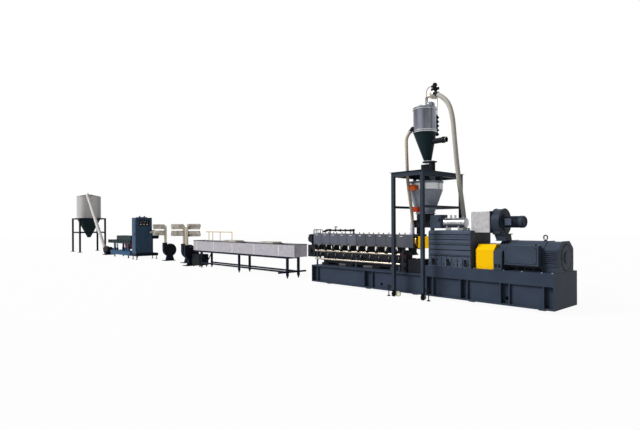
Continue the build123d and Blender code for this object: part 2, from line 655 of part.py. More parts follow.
def hose_radii(points):
    """The largest bend that the two runs at each point leave room for."""
    corners = [Vector(*point) for point in points]
    radii = []
    for before, corner, after in zip(corners, corners[1:], corners[2:]):
        turn = (corner - before).get_angle(after - corner)
        shorter_run = min((corner - before).length, (after - corner).length)
        radii.append(0.45 * shorter_run / tan(radians(turn) / 2))
    return radii


def hose_port(points, length, radius):
    """The rigid stub that a hose is pushed onto, in line with its first run."""
    start = Vector(*points[0])
    inward = (start - Vector(*points[1])).normalized()
    rod(start + inward * length, start, radius)


FEED_HOSE_RADIUS = 37
FEED_HOSE_POINTS = [
    (-80, -235, 3665),
    (-115, -345, 3530),
    (-55, -420, 3330),
    (-20, -450, 2990),
    (0, -450, 2500),
    (28, -400, 2100),
    (-100, -155, 1800),
    (-100, -155, 1600),
]
VACUUM_HOSE_RADIUS = 52
VACUUM_HOSE_POINTS = [
    (480, -19, 4426),
    (700, -10, 4300),
    (840, 10, 3950),
    (860, 60, 3400),
    (850, 200, 2680),
    (870, 370, 1900),
    (905, 415, 1350),
    (905, 415, 950),
]
feed_hose_radii = hose_radii(FEED_HOSE_POINTS)
vacuum_hose_radii = hose_radii(VACUUM_HOSE_POINTS)
print("feed hose bend radii", [round(radius) for radius in feed_hose_radii])
print("vacuum hose bend radii", [round(radius) for radius in vacuum_hose_radii])

# Vacuum loader on the platform

LOADER_X = 140
LOADER_RADIUS = 255
LOADER_CONE_X = 215
LOADER_CONE_BOTTOM = 2975
LOADER_CONE_TOP = 3625
LOADER_TOP = 4165
LOADER_OUTLET_TOP = 2945

with BuildPart() as loader_body:
    with BuildSketch(Plane.XY.offset(LOADER_CONE_BOTTOM)):
        with Locations((LOADER_CONE_X, 0)):
            Circle(80)
    with BuildSketch(Plane.XY.offset(LOADER_CONE_TOP)):
        with Locations((LOADER_X, 0)):
            Circle(LOADER_RADIUS)
    loft()
    rod((LOADER_X, 0, LOADER_CONE_TOP), (LOADER_X, 0, LOADER_TOP), LOADER_RADIUS)
    rod((LOADER_X, 0, LOADER_CONE_TOP), (LOADER_X, 0, LOADER_CONE_TOP + 60), LOADER_RADIUS + 14)

    hose_port(FEED_HOSE_POINTS, 150, 45)
    rod((LOADER_X, 0, 3410), (700, 0, 3410), 70)

loader_body.part.label = "loader_body"
export_step(loader_body.part, "parts/loader_body.step")

with BuildPart() as loader_lid:
    rod((LOADER_X, 0, LOADER_TOP), (LOADER_X, 0, LOADER_TOP + 50), LOADER_RADIUS + 10)
    taper((LOADER_X, 0, LOADER_TOP + 50), (LOADER_X, 0, 4290), LOADER_RADIUS - 15, 110)
    rod((LOADER_X + 90, 0, 4240), (LOADER_X + 90, 0, 4445), 55)

    rod((LOADER_X + 60, 0, 4480), (LOADER_X + 60, 0, 4700), 62)
    block(LOADER_X + 20, LOADER_X + 160, -55, 55, 4445, 4480)
    rod((LOADER_X + 200, -110, 4420), (LOADER_X + 200, 60, 4420), 100)
    hose_port(VACUUM_HOSE_POINTS, 125, 58)

loader_lid.part.label = "loader_lid"
export_step(loader_lid.part, "parts/loader_lid.step")

with BuildPart() as loader_discharge:
    block(LOADER_CONE_X - 90, LOADER_OUTLET_X + 75, -80, 80, LOADER_CONE_BOTTOM - 30, LOADER_CONE_BOTTOM)
    rod((LOADER_OUTLET_X, 0, TOWER_TOP + 40), (LOADER_OUTLET_X, 0, LOADER_CONE_BOTTOM - 30),
        LOADER_OUTLET_RADIUS)
    block(LOADER_CONE_X - 150, LOADER_OUTLET_X - 60, -45, 45, TOWER_TOP + 60, LOADER_CONE_BOTTOM - 60)

loader_discharge.part.label = "loader_discharge"
export_step(loader_discharge.part, "parts/loader_discharge.step")

# Hoses of the vacuum loader

with BuildPart() as feed_hose:
    with BuildLine() as feed_hose_path:
        FilletPolyline(*FEED_HOSE_POINTS, radius=feed_hose_radii)
    with BuildSketch(Plane(origin=feed_hose_path.line @ 0, z_dir=feed_hose_path.line % 0)):
        Circle(FEED_HOSE_RADIUS)
    sweep()

feed_hose.part.label = "feed_hose"
export_step(feed_hose.part, "parts/feed_hose.step")

with BuildPart() as vacuum_hose:
    with BuildLine() as vacuum_hose_path:
        FilletPolyline(*VACUUM_HOSE_POINTS, radius=vacuum_hose_radii)
    with BuildSketch(Plane(origin=vacuum_hose_path.line @ 0, z_dir=vacuum_hose_path.line % 0)):
        Circle(VACUUM_HOSE_RADIUS)
    sweep()

vacuum_hose.part.label = "vacuum_hose"
export_step(vacuum_hose.part, "parts/vacuum_hose.step")

SPIGOT_RADIUS = 60

with BuildPart() as vacuum_spigot:
    spigot_x, spigot_y, spigot_top = VACUUM_HOSE_POINTS[-1]
    rod((spigot_x, spigot_y, DRIVE_TOP), (spigot_x, spigot_y, spigot_top), SPIGOT_RADIUS)
    rod((spigot_x, spigot_y, DRIVE_TOP), (spigot_x, spigot_y, DRIVE_TOP + 15), 90)

vacuum_spigot.part.label = "vacuum_spigot"
export_step(vacuum_spigot.part, "parts/vacuum_spigot.step")

# Water trough

TROUGH_START_X = -10250
TROUGH_END_X = -4180
TROUGH_CENTRE_Y = -20
TROUGH_WIDTH = 480
TROUGH_BOTTOM = 640
TROUGH_TOP = 1012
TROUGH_SHEET = 6
TROUGH_BEAM = 60
TROUGH_LEGS_X = [-9665, -7127, -4545]
TROUGH_LEG = 66
STRETCHER_Z = 185

TROUGH_NEAR_Y = TROUGH_CENTRE_Y - TROUGH_WIDTH / 2
TROUGH_FAR_Y = TROUGH_CENTRE_Y + TROUGH_WIDTH / 2

with BuildPart() as water_trough:
    block(TROUGH_START_X, TROUGH_END_X, TROUGH_NEAR_Y, TROUGH_FAR_Y, TROUGH_BOTTOM, TROUGH_TOP)
    block(TROUGH_START_X + TROUGH_SHEET, TROUGH_END_X - TROUGH_SHEET,
          TROUGH_NEAR_Y + TROUGH_SHEET, TROUGH_FAR_Y - TROUGH_SHEET,
          TROUGH_BOTTOM + TROUGH_SHEET, TROUGH_TOP, Mode.SUBTRACT)

water_trough.part.label = "water_trough"
export_step(water_trough.part, "parts/water_trough.step")

with BuildPart() as trough_frame:
    beam_bottom = TROUGH_BOTTOM - TROUGH_BEAM
    for beam_y in (TROUGH_NEAR_Y, TROUGH_FAR_Y - TROUGH_BEAM):
        block(TROUGH_LEGS_X[0] - 500, TROUGH_LEGS_X[-1] + TROUGH_LEG / 2, beam_y, beam_y + TROUGH_BEAM,
              beam_bottom, TROUGH_BOTTOM)
        block(TROUGH_LEGS_X[0], TROUGH_LEGS_X[-1], beam_y + 5, beam_y + 50,
              STRETCHER_Z - 25, STRETCHER_Z + 25)
        for leg_x in TROUGH_LEGS_X:
            block(leg_x - TROUGH_LEG / 2, leg_x + TROUGH_LEG / 2, beam_y, beam_y + TROUGH_BEAM,
                  60, beam_bottom)
            rod((leg_x, beam_y + TROUGH_BEAM / 2, 0), (leg_x, beam_y + TROUGH_BEAM / 2, 60), 22)
    for leg_x in TROUGH_LEGS_X:
        block(leg_x - 25, leg_x + 25, TROUGH_NEAR_Y + TROUGH_BEAM, TROUGH_FAR_Y - TROUGH_BEAM,
              beam_bottom, TROUGH_BOTTOM)
    block(TROUGH_LEGS_X[-1] - 25, TROUGH_LEGS_X[-1] + 25, -560, 480, STRETCHER_Z - 25, STRETCHER_Z + 25)

trough_frame.part.label = "trough_frame"
export_step(trough_frame.part, "parts/trough_frame.step")

ROLLERS_X = [-9950, -8700, -7450, -6200, -4950, -4350]
ROLLER_RADIUS = 26

with BuildPart() as guide_rollers:
    for roller_x in ROLLERS_X:
        rod((roller_x, TROUGH_NEAR_Y + TROUGH_SHEET, 930), (roller_x, TROUGH_FAR_Y - TROUGH_SHEET, 930),
            ROLLER_RADIUS)

guide_rollers.part.label = "guide_rollers"
export_step(guide_rollers.part, "parts/guide_rollers.step")

with BuildPart() as trough_covers:
    for cover_x, cover_length in ((-8250, 860), (-6050, 770)):
        block(cover_x, cover_x + cover_length, TROUGH_NEAR_Y, TROUGH_FAR_Y, TROUGH_TOP, TROUGH_TOP + 4)
        prism([(TROUGH_NEAR_Y + 40, TROUGH_TOP + 4), (TROUGH_NEAR_Y + 90, TROUGH_TOP + 50),
               (TROUGH_FAR_Y - 90, TROUGH_TOP + 50), (TROUGH_FAR_Y - 40, TROUGH_TOP + 4)],
              Plane.YZ.offset(cover_x + 30), cover_length - 60)

trough_covers.part.label = "trough_covers"
export_step(trough_covers.part, "parts/trough_covers.step")

RAIL_Z = 1330
RAIL_RADIUS = 14

with BuildPart() as trough_rail:
    rail_y = TROUGH_FAR_Y - TROUGH_SHEET / 2
    rod((-10150, rail_y, RAIL_Z), (-8265, rail_y, RAIL_Z), RAIL_RADIUS)
    for rail_x in (-9919, -9640, -9092, -8280):
        rod((rail_x, rail_y, TROUGH_TOP), (rail_x, rail_y, RAIL_Z), RAIL_RADIUS - 2)

trough_rail.part.label = "trough_rail"
export_step(trough_rail.part, "parts/trough_rail.step")

with BuildPart() as trough_pump:
    block(-10500, -9900, -200, 180, 60, 480)
    for foot_x in (-10440, -9960):
        for foot_y in (-150, 130):
            rod((foot_x, foot_y, 0), (foot_x, foot_y, 60), 24)
    rod((-10400, -20, 480), (-10400, -20, TROUGH_BOTTOM - 20), 60)
    rod((-10080, -20, 480), (-10080, -20, TROUGH_BOTTOM), 40)

trough_pump.part.label = "trough_pump"
export_step(trough_pump.part, "parts/trough_pump.step")

# Air knives and their blowers

KNIFE_LENGTH = 760
KNIVES = [(-14300, -14300), (-12535, -12640), (-11080, -10980)]
KNIFE_UPPER_BOTTOM = 1429
KNIFE_UPPER_TOP = 1640
KNIFE_LOWER_BOTTOM = 1140
KNIFE_LOWER_TOP = 1362
KNIFE_HALF_WIDTH = 100
KNIFE_MOUTH = 40
RISER_Y = 300
RISERS_X = [-13620, -11935, -10920]
RISER_RADIUS = 42
COLLARS_Z = [1240, 1540]
BLOWER_Y = 450
BLOWER_Z = 500

with BuildPart() as air_knives:
    for upper_x, lower_x in KNIVES:
        prism([(-KNIFE_HALF_WIDTH, KNIFE_UPPER_TOP), (KNIFE_HALF_WIDTH, KNIFE_UPPER_TOP),
               (KNIFE_MOUTH, KNIFE_UPPER_BOTTOM), (-KNIFE_MOUTH, KNIFE_UPPER_BOTTOM)],
              Plane.YZ.offset(upper_x), KNIFE_LENGTH)
        prism([(-KNIFE_MOUTH, KNIFE_LOWER_TOP), (KNIFE_MOUTH, KNIFE_LOWER_TOP),
               (KNIFE_HALF_WIDTH, KNIFE_LOWER_BOTTOM), (-KNIFE_HALF_WIDTH, KNIFE_LOWER_BOTTOM)],
              Plane.YZ.offset(lower_x), KNIFE_LENGTH)
    for riser_x in RISERS_X:
        for collar_z in COLLARS_Z:
            block(riser_x - 45, riser_x + 45, 30, KNIFE_HALF_WIDTH + 10, collar_z - 45, collar_z + 45)

air_knives.part.label = "air_knives"
export_step(air_knives.part, "parts/air_knives.step")

with BuildPart() as air_risers:
    for riser_x in RISERS_X:
        rod((riser_x, RISER_Y, BLOWER_Z + 290), (riser_x, RISER_Y, KNIFE_UPPER_TOP - 40), RISER_RADIUS)
        for collar_z in COLLARS_Z:
            rod((riser_x, RISER_Y, collar_z), (riser_x, KNIFE_HALF_WIDTH + 10, collar_z),
                RISER_RADIUS - 6)

air_risers.part.label = "air_risers"
export_step(air_risers.part, "parts/air_risers.step")

with BuildPart() as blowers:
    for riser_x in RISERS_X:
        rod((riser_x + 130, RISER_Y - 80, BLOWER_Z), (riser_x + 130, RISER_Y + 80, BLOWER_Z), 260)
        block(riser_x - 80, riser_x + 60, RISER_Y - 60, RISER_Y + 60, BLOWER_Z, BLOWER_Z + 290)
        rod((riser_x + 130, RISER_Y + 80, BLOWER_Z), (riser_x + 130, RISER_Y + 420, BLOWER_Z), 120)
        block(riser_x - 100, riser_x + 340, RISER_Y - 90, RISER_Y + 380, 120, 170)
        block(riser_x + 80, riser_x + 180, RISER_Y + 120, RISER_Y + 340, 170, BLOWER_Z)
        for foot_x in (riser_x - 60, riser_x + 300):
            for foot_y in (RISER_Y - 50, RISER_Y + 340):
                rod((foot_x, foot_y, 0), (foot_x, foot_y, 120), 25)

blowers.part.label = "blowers"
export_step(blowers.part, "parts/blowers.step")

# Pelletizer

PELLETIZER_END_X = -15600
PELLETIZER_LENGTH = 480
PELLETIZER_NEAR_Y = -385
PELLETIZER_WIDTH = 780
PELLETIZER_BOTTOM = 290
PELLETIZER_TOP = 1955

PELLETIZER_START_X = PELLETIZER_END_X - PELLETIZER_LENGTH
PELLETIZER_FAR_Y = PELLETIZER_NEAR_Y + PELLETIZER_WIDTH

with BuildPart() as pelletizer_cabinet:
    block(PELLETIZER_START_X, PELLETIZER_END_X, PELLETIZER_NEAR_Y, PELLETIZER_FAR_Y,
          PELLETIZER_BOTTOM, PELLETIZER_TOP)
    chamfer(pelletizer_cabinet.edges().filter_by(Axis.Z), length=15)
    block(PELLETIZER_START_X + 60, PELLETIZER_END_X - 60, -200, 180, PELLETIZER_TOP, 1985)

pelletizer_cabinet.part.label = "pelletizer_cabinet"
export_step(pelletizer_cabinet.part, "parts/pelletizer_cabinet.step")

with BuildPart() as pelletizer_stand:
    block(PELLETIZER_START_X - 60, PELLETIZER_END_X + 40, PELLETIZER_NEAR_Y, PELLETIZER_FAR_Y + 280,
          160, PELLETIZER_BOTTOM)
    for foot_x in (PELLETIZER_START_X, PELLETIZER_END_X - 40):
        for foot_y in (PELLETIZER_NEAR_Y + 60, PELLETIZER_FAR_Y + 220):
            rod((foot_x, foot_y, 0), (foot_x, foot_y, 20), 50)
            rod((foot_x, foot_y, 20), (foot_x, foot_y, 160), 18)

pelletizer_stand.part.label = "pelletizer_stand"
export_step(pelletizer_stand.part, "parts/pelletizer_stand.step")

with BuildPart() as pelletizer_infeed:
    block(PELLETIZER_END_X, PELLETIZER_END_X + 160, -200, 200, 1150, 1420)
    block(PELLETIZER_END_X + 160, PELLETIZER_END_X + 420, -160, 160, 1280, 1300)

pelletizer_infeed.part.label = "pelletizer_infeed"
export_step(pelletizer_infeed.part, "parts/pelletizer_infeed.step")

with BuildPart() as pelletizer_drive:
    block(PELLETIZER_START_X + 60, PELLETIZER_END_X - 40, PELLETIZER_FAR_Y, PELLETIZER_FAR_Y + 60,
          PELLETIZER_BOTTOM, 1250)
    rod((PELLETIZER_START_X + 240, PELLETIZER_FAR_Y + 60, 1090),
        (PELLETIZER_START_X + 240, PELLETIZER_FAR_Y + 380, 1090), 140)

pelletizer_drive.part.label = "pelletizer_drive"
export_step(pelletizer_drive.part, "parts/pelletizer_drive.step")

# Vibrating sieve

SIEVE_END_X = -16650
SIEVE_DECK_START_X = -19700
SIEVE_HALF_WIDTH = 250

with BuildPart() as sieve_deck:
    block(SIEVE_DECK_START_X, SIEVE_END_X, -SIEVE_HALF_WIDTH, SIEVE_HALF_WIDTH, 700, 865)
    block(-18549, SIEVE_END_X, -SIEVE_HALF_WIDTH + 40, SIEVE_HALF_WIDTH - 40, 865, 1090)
    block(-18549 + 10, SIEVE_END_X - 10, -SIEVE_HALF_WIDTH + 50, SIEVE_HALF_WIDTH - 50, 900, 1090,
          Mode.SUBTRACT)

sieve_deck.part.label = "sieve_deck"
export_step(sieve_deck.part, "parts/sieve_deck.step")

with BuildPart() as sieve_frame:
    for side_y in (-SIEVE_HALF_WIDTH, SIEVE_HALF_WIDTH - 70):
        block(-19333, SIEVE_END_X, side_y, side_y + 70, 130, 330)
        for leg_x in (-18800, -16950):
            block(leg_x - 40, leg_x + 40, side_y, side_y + 70, 330, 700)
            rod((leg_x, side_y + 35, 0), (leg_x, side_y + 35, 130), 30)
    for cross_x in (-19300, -18000, -16750):
        block(cross_x, cross_x + 70, -SIEVE_HALF_WIDTH + 70, SIEVE_HALF_WIDTH - 70, 160, 300)

sieve_frame.part.label = "sieve_frame"
export_step(sieve_frame.part, "parts/sieve_frame.step")

with BuildPart() as sieve_chute:
    prism([(-17747, 700), (-16927, 700), (-17250, 420), (-17420, 420)],
          Plane.XZ.offset(-120), 240)

sieve_chute.part.label = "sieve_chute"
export_step(sieve_chute.part, "parts/sieve_chute.step")

# Pellet conveying fan, duct and silo

DUCT_RADIUS = 95

with BuildPart() as conveying_fan:
    rod((-20500, -80, 420), (-20500, 80, 420), 250)
    rod((-20500, 80, 420), (-20500, 400, 420), 120)
    block(-20700, -20200, -150, 380, 60, 130)
    block(-20560, -20440, 120, 340, 130, 400)
    block(-20680, -20600, -60, 60, 420, 760)
    for foot_x in (-20660, -20240):
        for foot_y in (-110, 340):
            rod((foot_x, foot_y, 0), (foot_x, foot_y, 60), 30)

conveying_fan.part.label = "conveying_fan"
export_step(conveying_fan.part, "parts/conveying_fan.step")

SILO_X = -24900
SILO_Y = 350
SILO_RADIUS = 680
SILO_SHEET = 8
SILO_BOTTOM = 2060
SILO_TOP = 3400
SILO_ROOF_TOP = 3520
SILO_OUTLET_Z = 880
SILO_OUTLET_RADIUS = 90
SILO_FRAME_SIDE = 1440
SILO_POST = 90
SILO_RAIL = 30
SILO_RING = 15
SILO_RING_RADIUS = 745

with BuildPart() as conveying_duct:
    with BuildLine() as duct_path:
        FilletPolyline((-20640, 0, 760), (-20640, 0, 1000), (-23900, 200, 3150), (-24250, 220, 3750),
                       (SILO_X, SILO_Y, 3750), (SILO_X, SILO_Y, SILO_ROOF_TOP), radius=150)
    with BuildSketch(Plane(origin=duct_path.line @ 0, z_dir=duct_path.line % 0)):
        Circle(DUCT_RADIUS)
    sweep()

conveying_duct.part.label = "conveying_duct"
export_step(conveying_duct.part, "parts/conveying_duct.step")

with BuildPart() as silo_shell:
    rod((SILO_X, SILO_Y, SILO_BOTTOM), (SILO_X, SILO_Y, SILO_TOP), SILO_RADIUS)
    rod((SILO_X, SILO_Y, SILO_BOTTOM), (SILO_X, SILO_Y, SILO_BOTTOM + SILO_RING), SILO_RING_RADIUS)
    rod((SILO_X, SILO_Y, SILO_BOTTOM), (SILO_X, SILO_Y, SILO_TOP), SILO_RADIUS - SILO_SHEET,
        Mode.SUBTRACT)

silo_shell.part.label = "silo_shell"
export_step(silo_shell.part, "parts/silo_shell.step")

with BuildPart() as silo_roof:
    taper((SILO_X, SILO_Y, SILO_TOP), (SILO_X, SILO_Y, SILO_ROOF_TOP), SILO_RADIUS + 10, 150)

silo_roof.part.label = "silo_roof"
export_step(silo_roof.part, "parts/silo_roof.step")

with BuildPart() as silo_cone:
    taper((SILO_X, SILO_Y, SILO_OUTLET_Z), (SILO_X, SILO_Y, SILO_BOTTOM), SILO_OUTLET_RADIUS, SILO_RADIUS)
    taper((SILO_X, SILO_Y, SILO_OUTLET_Z), (SILO_X, SILO_Y, SILO_BOTTOM),
          SILO_OUTLET_RADIUS - SILO_SHEET, SILO_RADIUS - SILO_SHEET, Mode.SUBTRACT)

silo_cone.part.label = "silo_cone"
export_step(silo_cone.part, "parts/silo_cone.step")

with BuildPart() as silo_frame:
    half = SILO_FRAME_SIDE / 2
    for post_x in (SILO_X - half, SILO_X + half):
        for post_y in (SILO_Y - half, SILO_Y + half):
            block(post_x - SILO_POST / 2, post_x + SILO_POST / 2, post_y - SILO_POST / 2,
                  post_y + SILO_POST / 2, 15, SILO_BOTTOM)
            block(post_x - 110, post_x + 110, post_y - 110, post_y + 110, 0, 15)
    for rail_z in (1150, SILO_BOTTOM - 80):
        for rail_y in (SILO_Y - half, SILO_Y + half):
            block(SILO_X - half + SILO_POST / 2, SILO_X + half - SILO_POST / 2, rail_y - 30, rail_y + 30,
                  rail_z, rail_z + 80)
        for rail_x in (SILO_X - half, SILO_X + half):
            block(rail_x - 30, rail_x + 30, SILO_Y - half + SILO_POST / 2, SILO_Y + half - SILO_POST / 2,
                  rail_z, rail_z + 80)

silo_frame.part.label = "silo_frame"
export_step(silo_frame.part, "parts/silo_frame.step")
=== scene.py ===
"""Looks of the strand pelletizing line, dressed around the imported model.

Metres, +Z up, in the same frame as the model: the drive motor is at the +X end and the operator's
side is -Y. Each machine has its own section, and every piece stays with the body "root".
"""

import math

import bmesh
import bpy
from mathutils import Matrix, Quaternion, Vector


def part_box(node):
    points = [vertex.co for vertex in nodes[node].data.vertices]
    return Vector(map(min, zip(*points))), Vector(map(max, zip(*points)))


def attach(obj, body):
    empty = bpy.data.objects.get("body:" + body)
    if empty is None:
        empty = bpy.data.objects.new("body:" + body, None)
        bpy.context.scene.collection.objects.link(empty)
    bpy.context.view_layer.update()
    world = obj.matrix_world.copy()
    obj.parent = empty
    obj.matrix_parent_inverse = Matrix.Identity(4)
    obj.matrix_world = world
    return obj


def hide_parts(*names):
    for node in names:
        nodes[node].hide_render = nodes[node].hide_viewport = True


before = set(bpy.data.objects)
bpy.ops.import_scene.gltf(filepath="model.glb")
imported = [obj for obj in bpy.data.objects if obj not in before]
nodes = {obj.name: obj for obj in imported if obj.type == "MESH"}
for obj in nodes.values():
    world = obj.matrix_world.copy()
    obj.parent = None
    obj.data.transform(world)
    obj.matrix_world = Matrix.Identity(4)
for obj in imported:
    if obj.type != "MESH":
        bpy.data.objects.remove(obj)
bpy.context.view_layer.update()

# Camera

PHOTO_WIDTH = 640
PHOTO_HEIGHT = 430
CAMERA_PLACE = (6.4465, -8.9754, 1.565)
CAMERA_AIM = (-0.738, 0.675, 0)
CAMERA_ROLL = -0.0046
FOCAL_PIXELS = 476.24
HORIZON_PIXEL = 225.19
SENSOR_WIDTH = 36

camera_data = bpy.data.cameras.new("camera")
camera = bpy.data.objects.new("camera", camera_data)
bpy.context.collection.objects.link(camera)
camera_data.sensor_fit = "HORIZONTAL"
camera_data.sensor_width = SENSOR_WIDTH
camera_data.lens = FOCAL_PIXELS / PHOTO_WIDTH * SENSOR_WIDTH
camera_data.shift_y = (HORIZON_PIXEL - PHOTO_HEIGHT / 2) / PHOTO_WIDTH
camera_data.clip_end = 200
camera.location = CAMERA_PLACE
camera.rotation_mode = "QUATERNION"
roll = Quaternion((0, 0, 1), CAMERA_ROLL)
camera.rotation_quaternion = Vector(CAMERA_AIM).to_track_quat("-Z", "Y") @ roll
bpy.context.scene.camera = camera

# Materials


def srgb(red, green, blue):
    """A colour as a paint chart gives it, 0 to 255, turned into Blender's linear values."""
    values = []
    for channel in (red, green, blue):
        level = channel / 255
        values.append(level / 12.92 if level <= 0.04045 else ((level + 0.055) / 1.055) ** 2.4)
    return values


def shade(colour, factor):
    """The colour made darker or lighter, with full opacity."""
    return [min(channel * factor, 1) for channel in colour] + [1]


def add_node(tree, kind, inputs=(), operation=None):
    """A new shader node of this kind, with these values on its inputs."""
    node = tree.nodes.new("ShaderNode" + kind)
    for socket, value in dict(inputs).items():
        node.inputs[socket].default_value = value
    if operation:
        node.operation = operation
    return node


PAINT_SHEEN = 0.04
METAL_FROM = 0.3
GLOSS_SPREAD = 0.1
GRAIN_DEPTH = 0.002
TONE_PLACES = (0.3, 0.7)


def surface(name, colour, roughness, metallic=0, mottling=0.12, patch=2.5, grain=90, relief=0.08,
        stretch=(1, 1, 1), reflection_streaks=1):
    """A painted, plastic or metal finish with soft patches of tone and a fine grain in its gloss.

    The colour is as a paint chart gives it. patch and grain are how many of each fit in a metre,
    stretch draws the grain out along an axis, and reflection_streaks below 1 draws the patches out
    upright into painted reflection streaks, as polished steel shows its reflections.
    """
    material = bpy.data.materials.new(name)
    material.use_nodes = True
    tree = material.node_tree
    link = tree.links.new
    shader = tree.nodes["Principled BSDF"]
    shader.inputs["Metallic"].default_value = metallic
    if metallic < METAL_FROM:
        shader.inputs["Specular IOR Level"].default_value = PAINT_SHEEN
    place = add_node(tree, "TexCoord")
    mapping = add_node(tree, "Mapping", {"Scale": stretch})
    link(place.outputs["Object"], mapping.inputs["Vector"])

    patches = add_node(tree, "TexNoise", {"Scale": patch, "Detail": 5})
    patch_mapping = add_node(tree, "Mapping", {"Scale": (1, 1, reflection_streaks)})
    link(place.outputs["Object"], patch_mapping.inputs["Vector"])
    link(patch_mapping.outputs["Vector"], patches.inputs["Vector"])
    tones = add_node(tree, "ValToRGB")
    factors = (1 - mottling, 1 + mottling)
    for stop, position, factor in zip(tones.color_ramp.elements, TONE_PLACES, factors):
        stop.position = position
        stop.color = shade(srgb(*colour), factor)
    link(patches.outputs["Fac"], tones.inputs["Fac"])
    link(tones.outputs["Color"], shader.inputs["Base Color"])

    grains = add_node(tree, "TexNoise", {"Scale": grain, "Detail": 3})
    link(mapping.outputs["Vector"], grains.inputs["Vector"])
    lowest, highest = max(roughness - GLOSS_SPREAD, 0.02), min(roughness + GLOSS_SPREAD, 1)
    gloss = add_node(tree, "MapRange", {"To Min": lowest, "To Max": highest})
    link(grains.outputs["Fac"], gloss.inputs["Value"])
    link(gloss.outputs["Result"], shader.inputs["Roughness"])
    bump = add_node(tree, "Bump", {"Strength": relief, "Distance": GRAIN_DEPTH})
    link(grains.outputs["Fac"], bump.inputs["Height"])
    link(bump.outputs["Normal"], shader.inputs["Normal"])
    return material


ALONG_X = (0.05, 1, 1)
UPRIGHT = (1, 1, 0.05)

slate_paint = surface("slate_paint", (56, 65, 80), 0.42)
gearbox_paint = surface("gearbox_paint", (76, 86, 102), 0.45)
motor_paint = surface("motor_paint", (64, 73, 87), 0.4)
fan_paint = surface("fan_paint", (54, 62, 74), 0.38)
black_steel = surface("black_steel", (30, 32, 36), 0.5)
rubber = surface("rubber", (24, 24, 26), 0.75, grain=200)
yellow_paint = surface("yellow_paint", (255, 198, 8), 0.35, mottling=0.04)
tower_paint = surface("tower_paint", (56, 64, 76), 0.42)
left_cover_steel = surface("left_cover_steel", (98, 102, 114), 0.42, metallic=0.2, stretch=ALONG_X)
right_cover_steel = surface("right_cover_steel", (86, 88, 97), 0.42, metallic=0.2, stretch=ALONG_X)
barrel_steel = surface("barrel_steel", (96, 92, 90), 0.4, metallic=0.8)
dark_iron = surface("dark_iron", (42, 44, 50), 0.5)
pipe_steel = surface("pipe_steel", (186, 176, 160), 0.25, metallic=0.75, stretch=ALONG_X)
brass = surface("brass", (200, 165, 95), 0.3, metallic=0.9)
hopper_steel = surface("hopper_steel", (146, 153, 166), 0.4, metallic=0.15, stretch=UPRIGHT)
# The loader and silo steel have strong upright tone streaks: painted reflections on top of random tone.
loader_steel = surface("loader_steel", (118, 120, 132), 0.2, metallic=0.6, mottling=0.75, patch=5,
    stretch=UPRIGHT, reflection_streaks=0.12)
silo_steel = surface("silo_steel", (206, 204, 202), 0.25, metallic=0.12, mottling=0.3, patch=1.6,
    stretch=UPRIGHT, reflection_streaks=0.1)
trough_steel = surface("trough_steel", (176, 172, 180), 0.42, metallic=0.3, patch=9, mottling=0.1)
knife_steel = surface("knife_steel", (160, 154, 144), 0.25, metallic=0.85, mottling=0.45, patch=6,
    stretch=ALONG_X)
navy_paint = surface("navy_paint", (26, 32, 48), 0.4)
cabinet_paint = surface("cabinet_paint", (66, 88, 112), 0.42)
blue_paint = surface("blue_paint", (44, 84, 116), 0.4)
teal_paint = surface("teal_paint", (34, 50, 54), 0.4)
orange_plastic = surface("orange_plastic", (238, 112, 48), 0.4, mottling=0.05)
chute_paint = surface("chute_paint", (205, 82, 52), 0.45)
pale_plastic = surface("pale_plastic", (226, 222, 220), 0.5, mottling=0.04)
filter_felt = surface("filter_felt", (192, 190, 192), 0.95, patch=14, mottling=0.14, grain=260,
    relief=0.35)
zinc = surface("zinc", (176, 178, 182), 0.3, metallic=0.9)

FINISHES = (
    (slate_paint, ("extruder_base", "vacuum_spigot")),
    (black_steel, ("skid_beams", "tower_feet", "trough_pump")),
    (gearbox_paint, ("gearbox", "feeder_drive")),
    (zinc, ("oil_cooler", "guide_rollers")),
    (barrel_steel, ("barrels",)),
    (left_cover_steel, ("barrel_covers_left",)),
    (right_cover_steel, ("barrel_covers_right",)),
    (dark_iron, ("lantern", "water_valves", "soft_water_tank", "feeder", "loader_discharge")),
    (tower_paint, ("tower_frame", "tower_deck")),
    (hopper_steel, ("hopper_lid",)),
    (trough_steel, ("water_trough",)),
    (navy_paint, ("trough_frame", "pelletizer_stand", "pelletizer_drive", "silo_frame")),
    (knife_steel, ("trough_covers",)),
    (brass, ("trough_rail",)),
    (cabinet_paint, ("pelletizer_cabinet",)),
    (teal_paint, ("sieve_deck", "silo_roof", "silo_cone")),
    (blue_paint, ("sieve_frame",)),
    (chute_paint, ("sieve_chute",)),
    (silo_steel, ("silo_shell",)),
)

for finish, names in FINISHES:
    for node_name in names:
        mesh = nodes[node_name].data
        mesh.materials.clear()
        mesh.materials.append(finish)

# Floor, world and lamps

FLOOR_COLOUR = (0.55, 0.55, 0.55, 1)
FLOOR_GLOW = 1.02
FLOOR_GLOW_SHARE = 0.93


def seen_rays(tree, *kinds):
    """A node output that is 1 for these kinds of ray, as Light Path names them, and 0 for others."""
    path = add_node(tree, "LightPath")
    seen = path.outputs[kinds[0]]
    for kind in kinds[1:]:
        either = add_node(tree, "Math", operation="MAXIMUM")
        tree.links.new(seen, either.inputs[0])
        tree.links.new(path.outputs[kind], either.inputs[1])
        seen = either.outputs["Value"]
    return seen


def mix_shaders(tree, share, first, second, output):
    """Send two shaders to the output node; share is how much of the second one there is."""
    mix = add_node(tree, "MixShader")
    tree.links.new(share, mix.inputs["Fac"])
    tree.links.new(first, mix.inputs[1])
    tree.links.new(second, mix.inputs[2])
    tree.links.new(mix.outputs["Shader"], tree.nodes[output].inputs["Surface"])


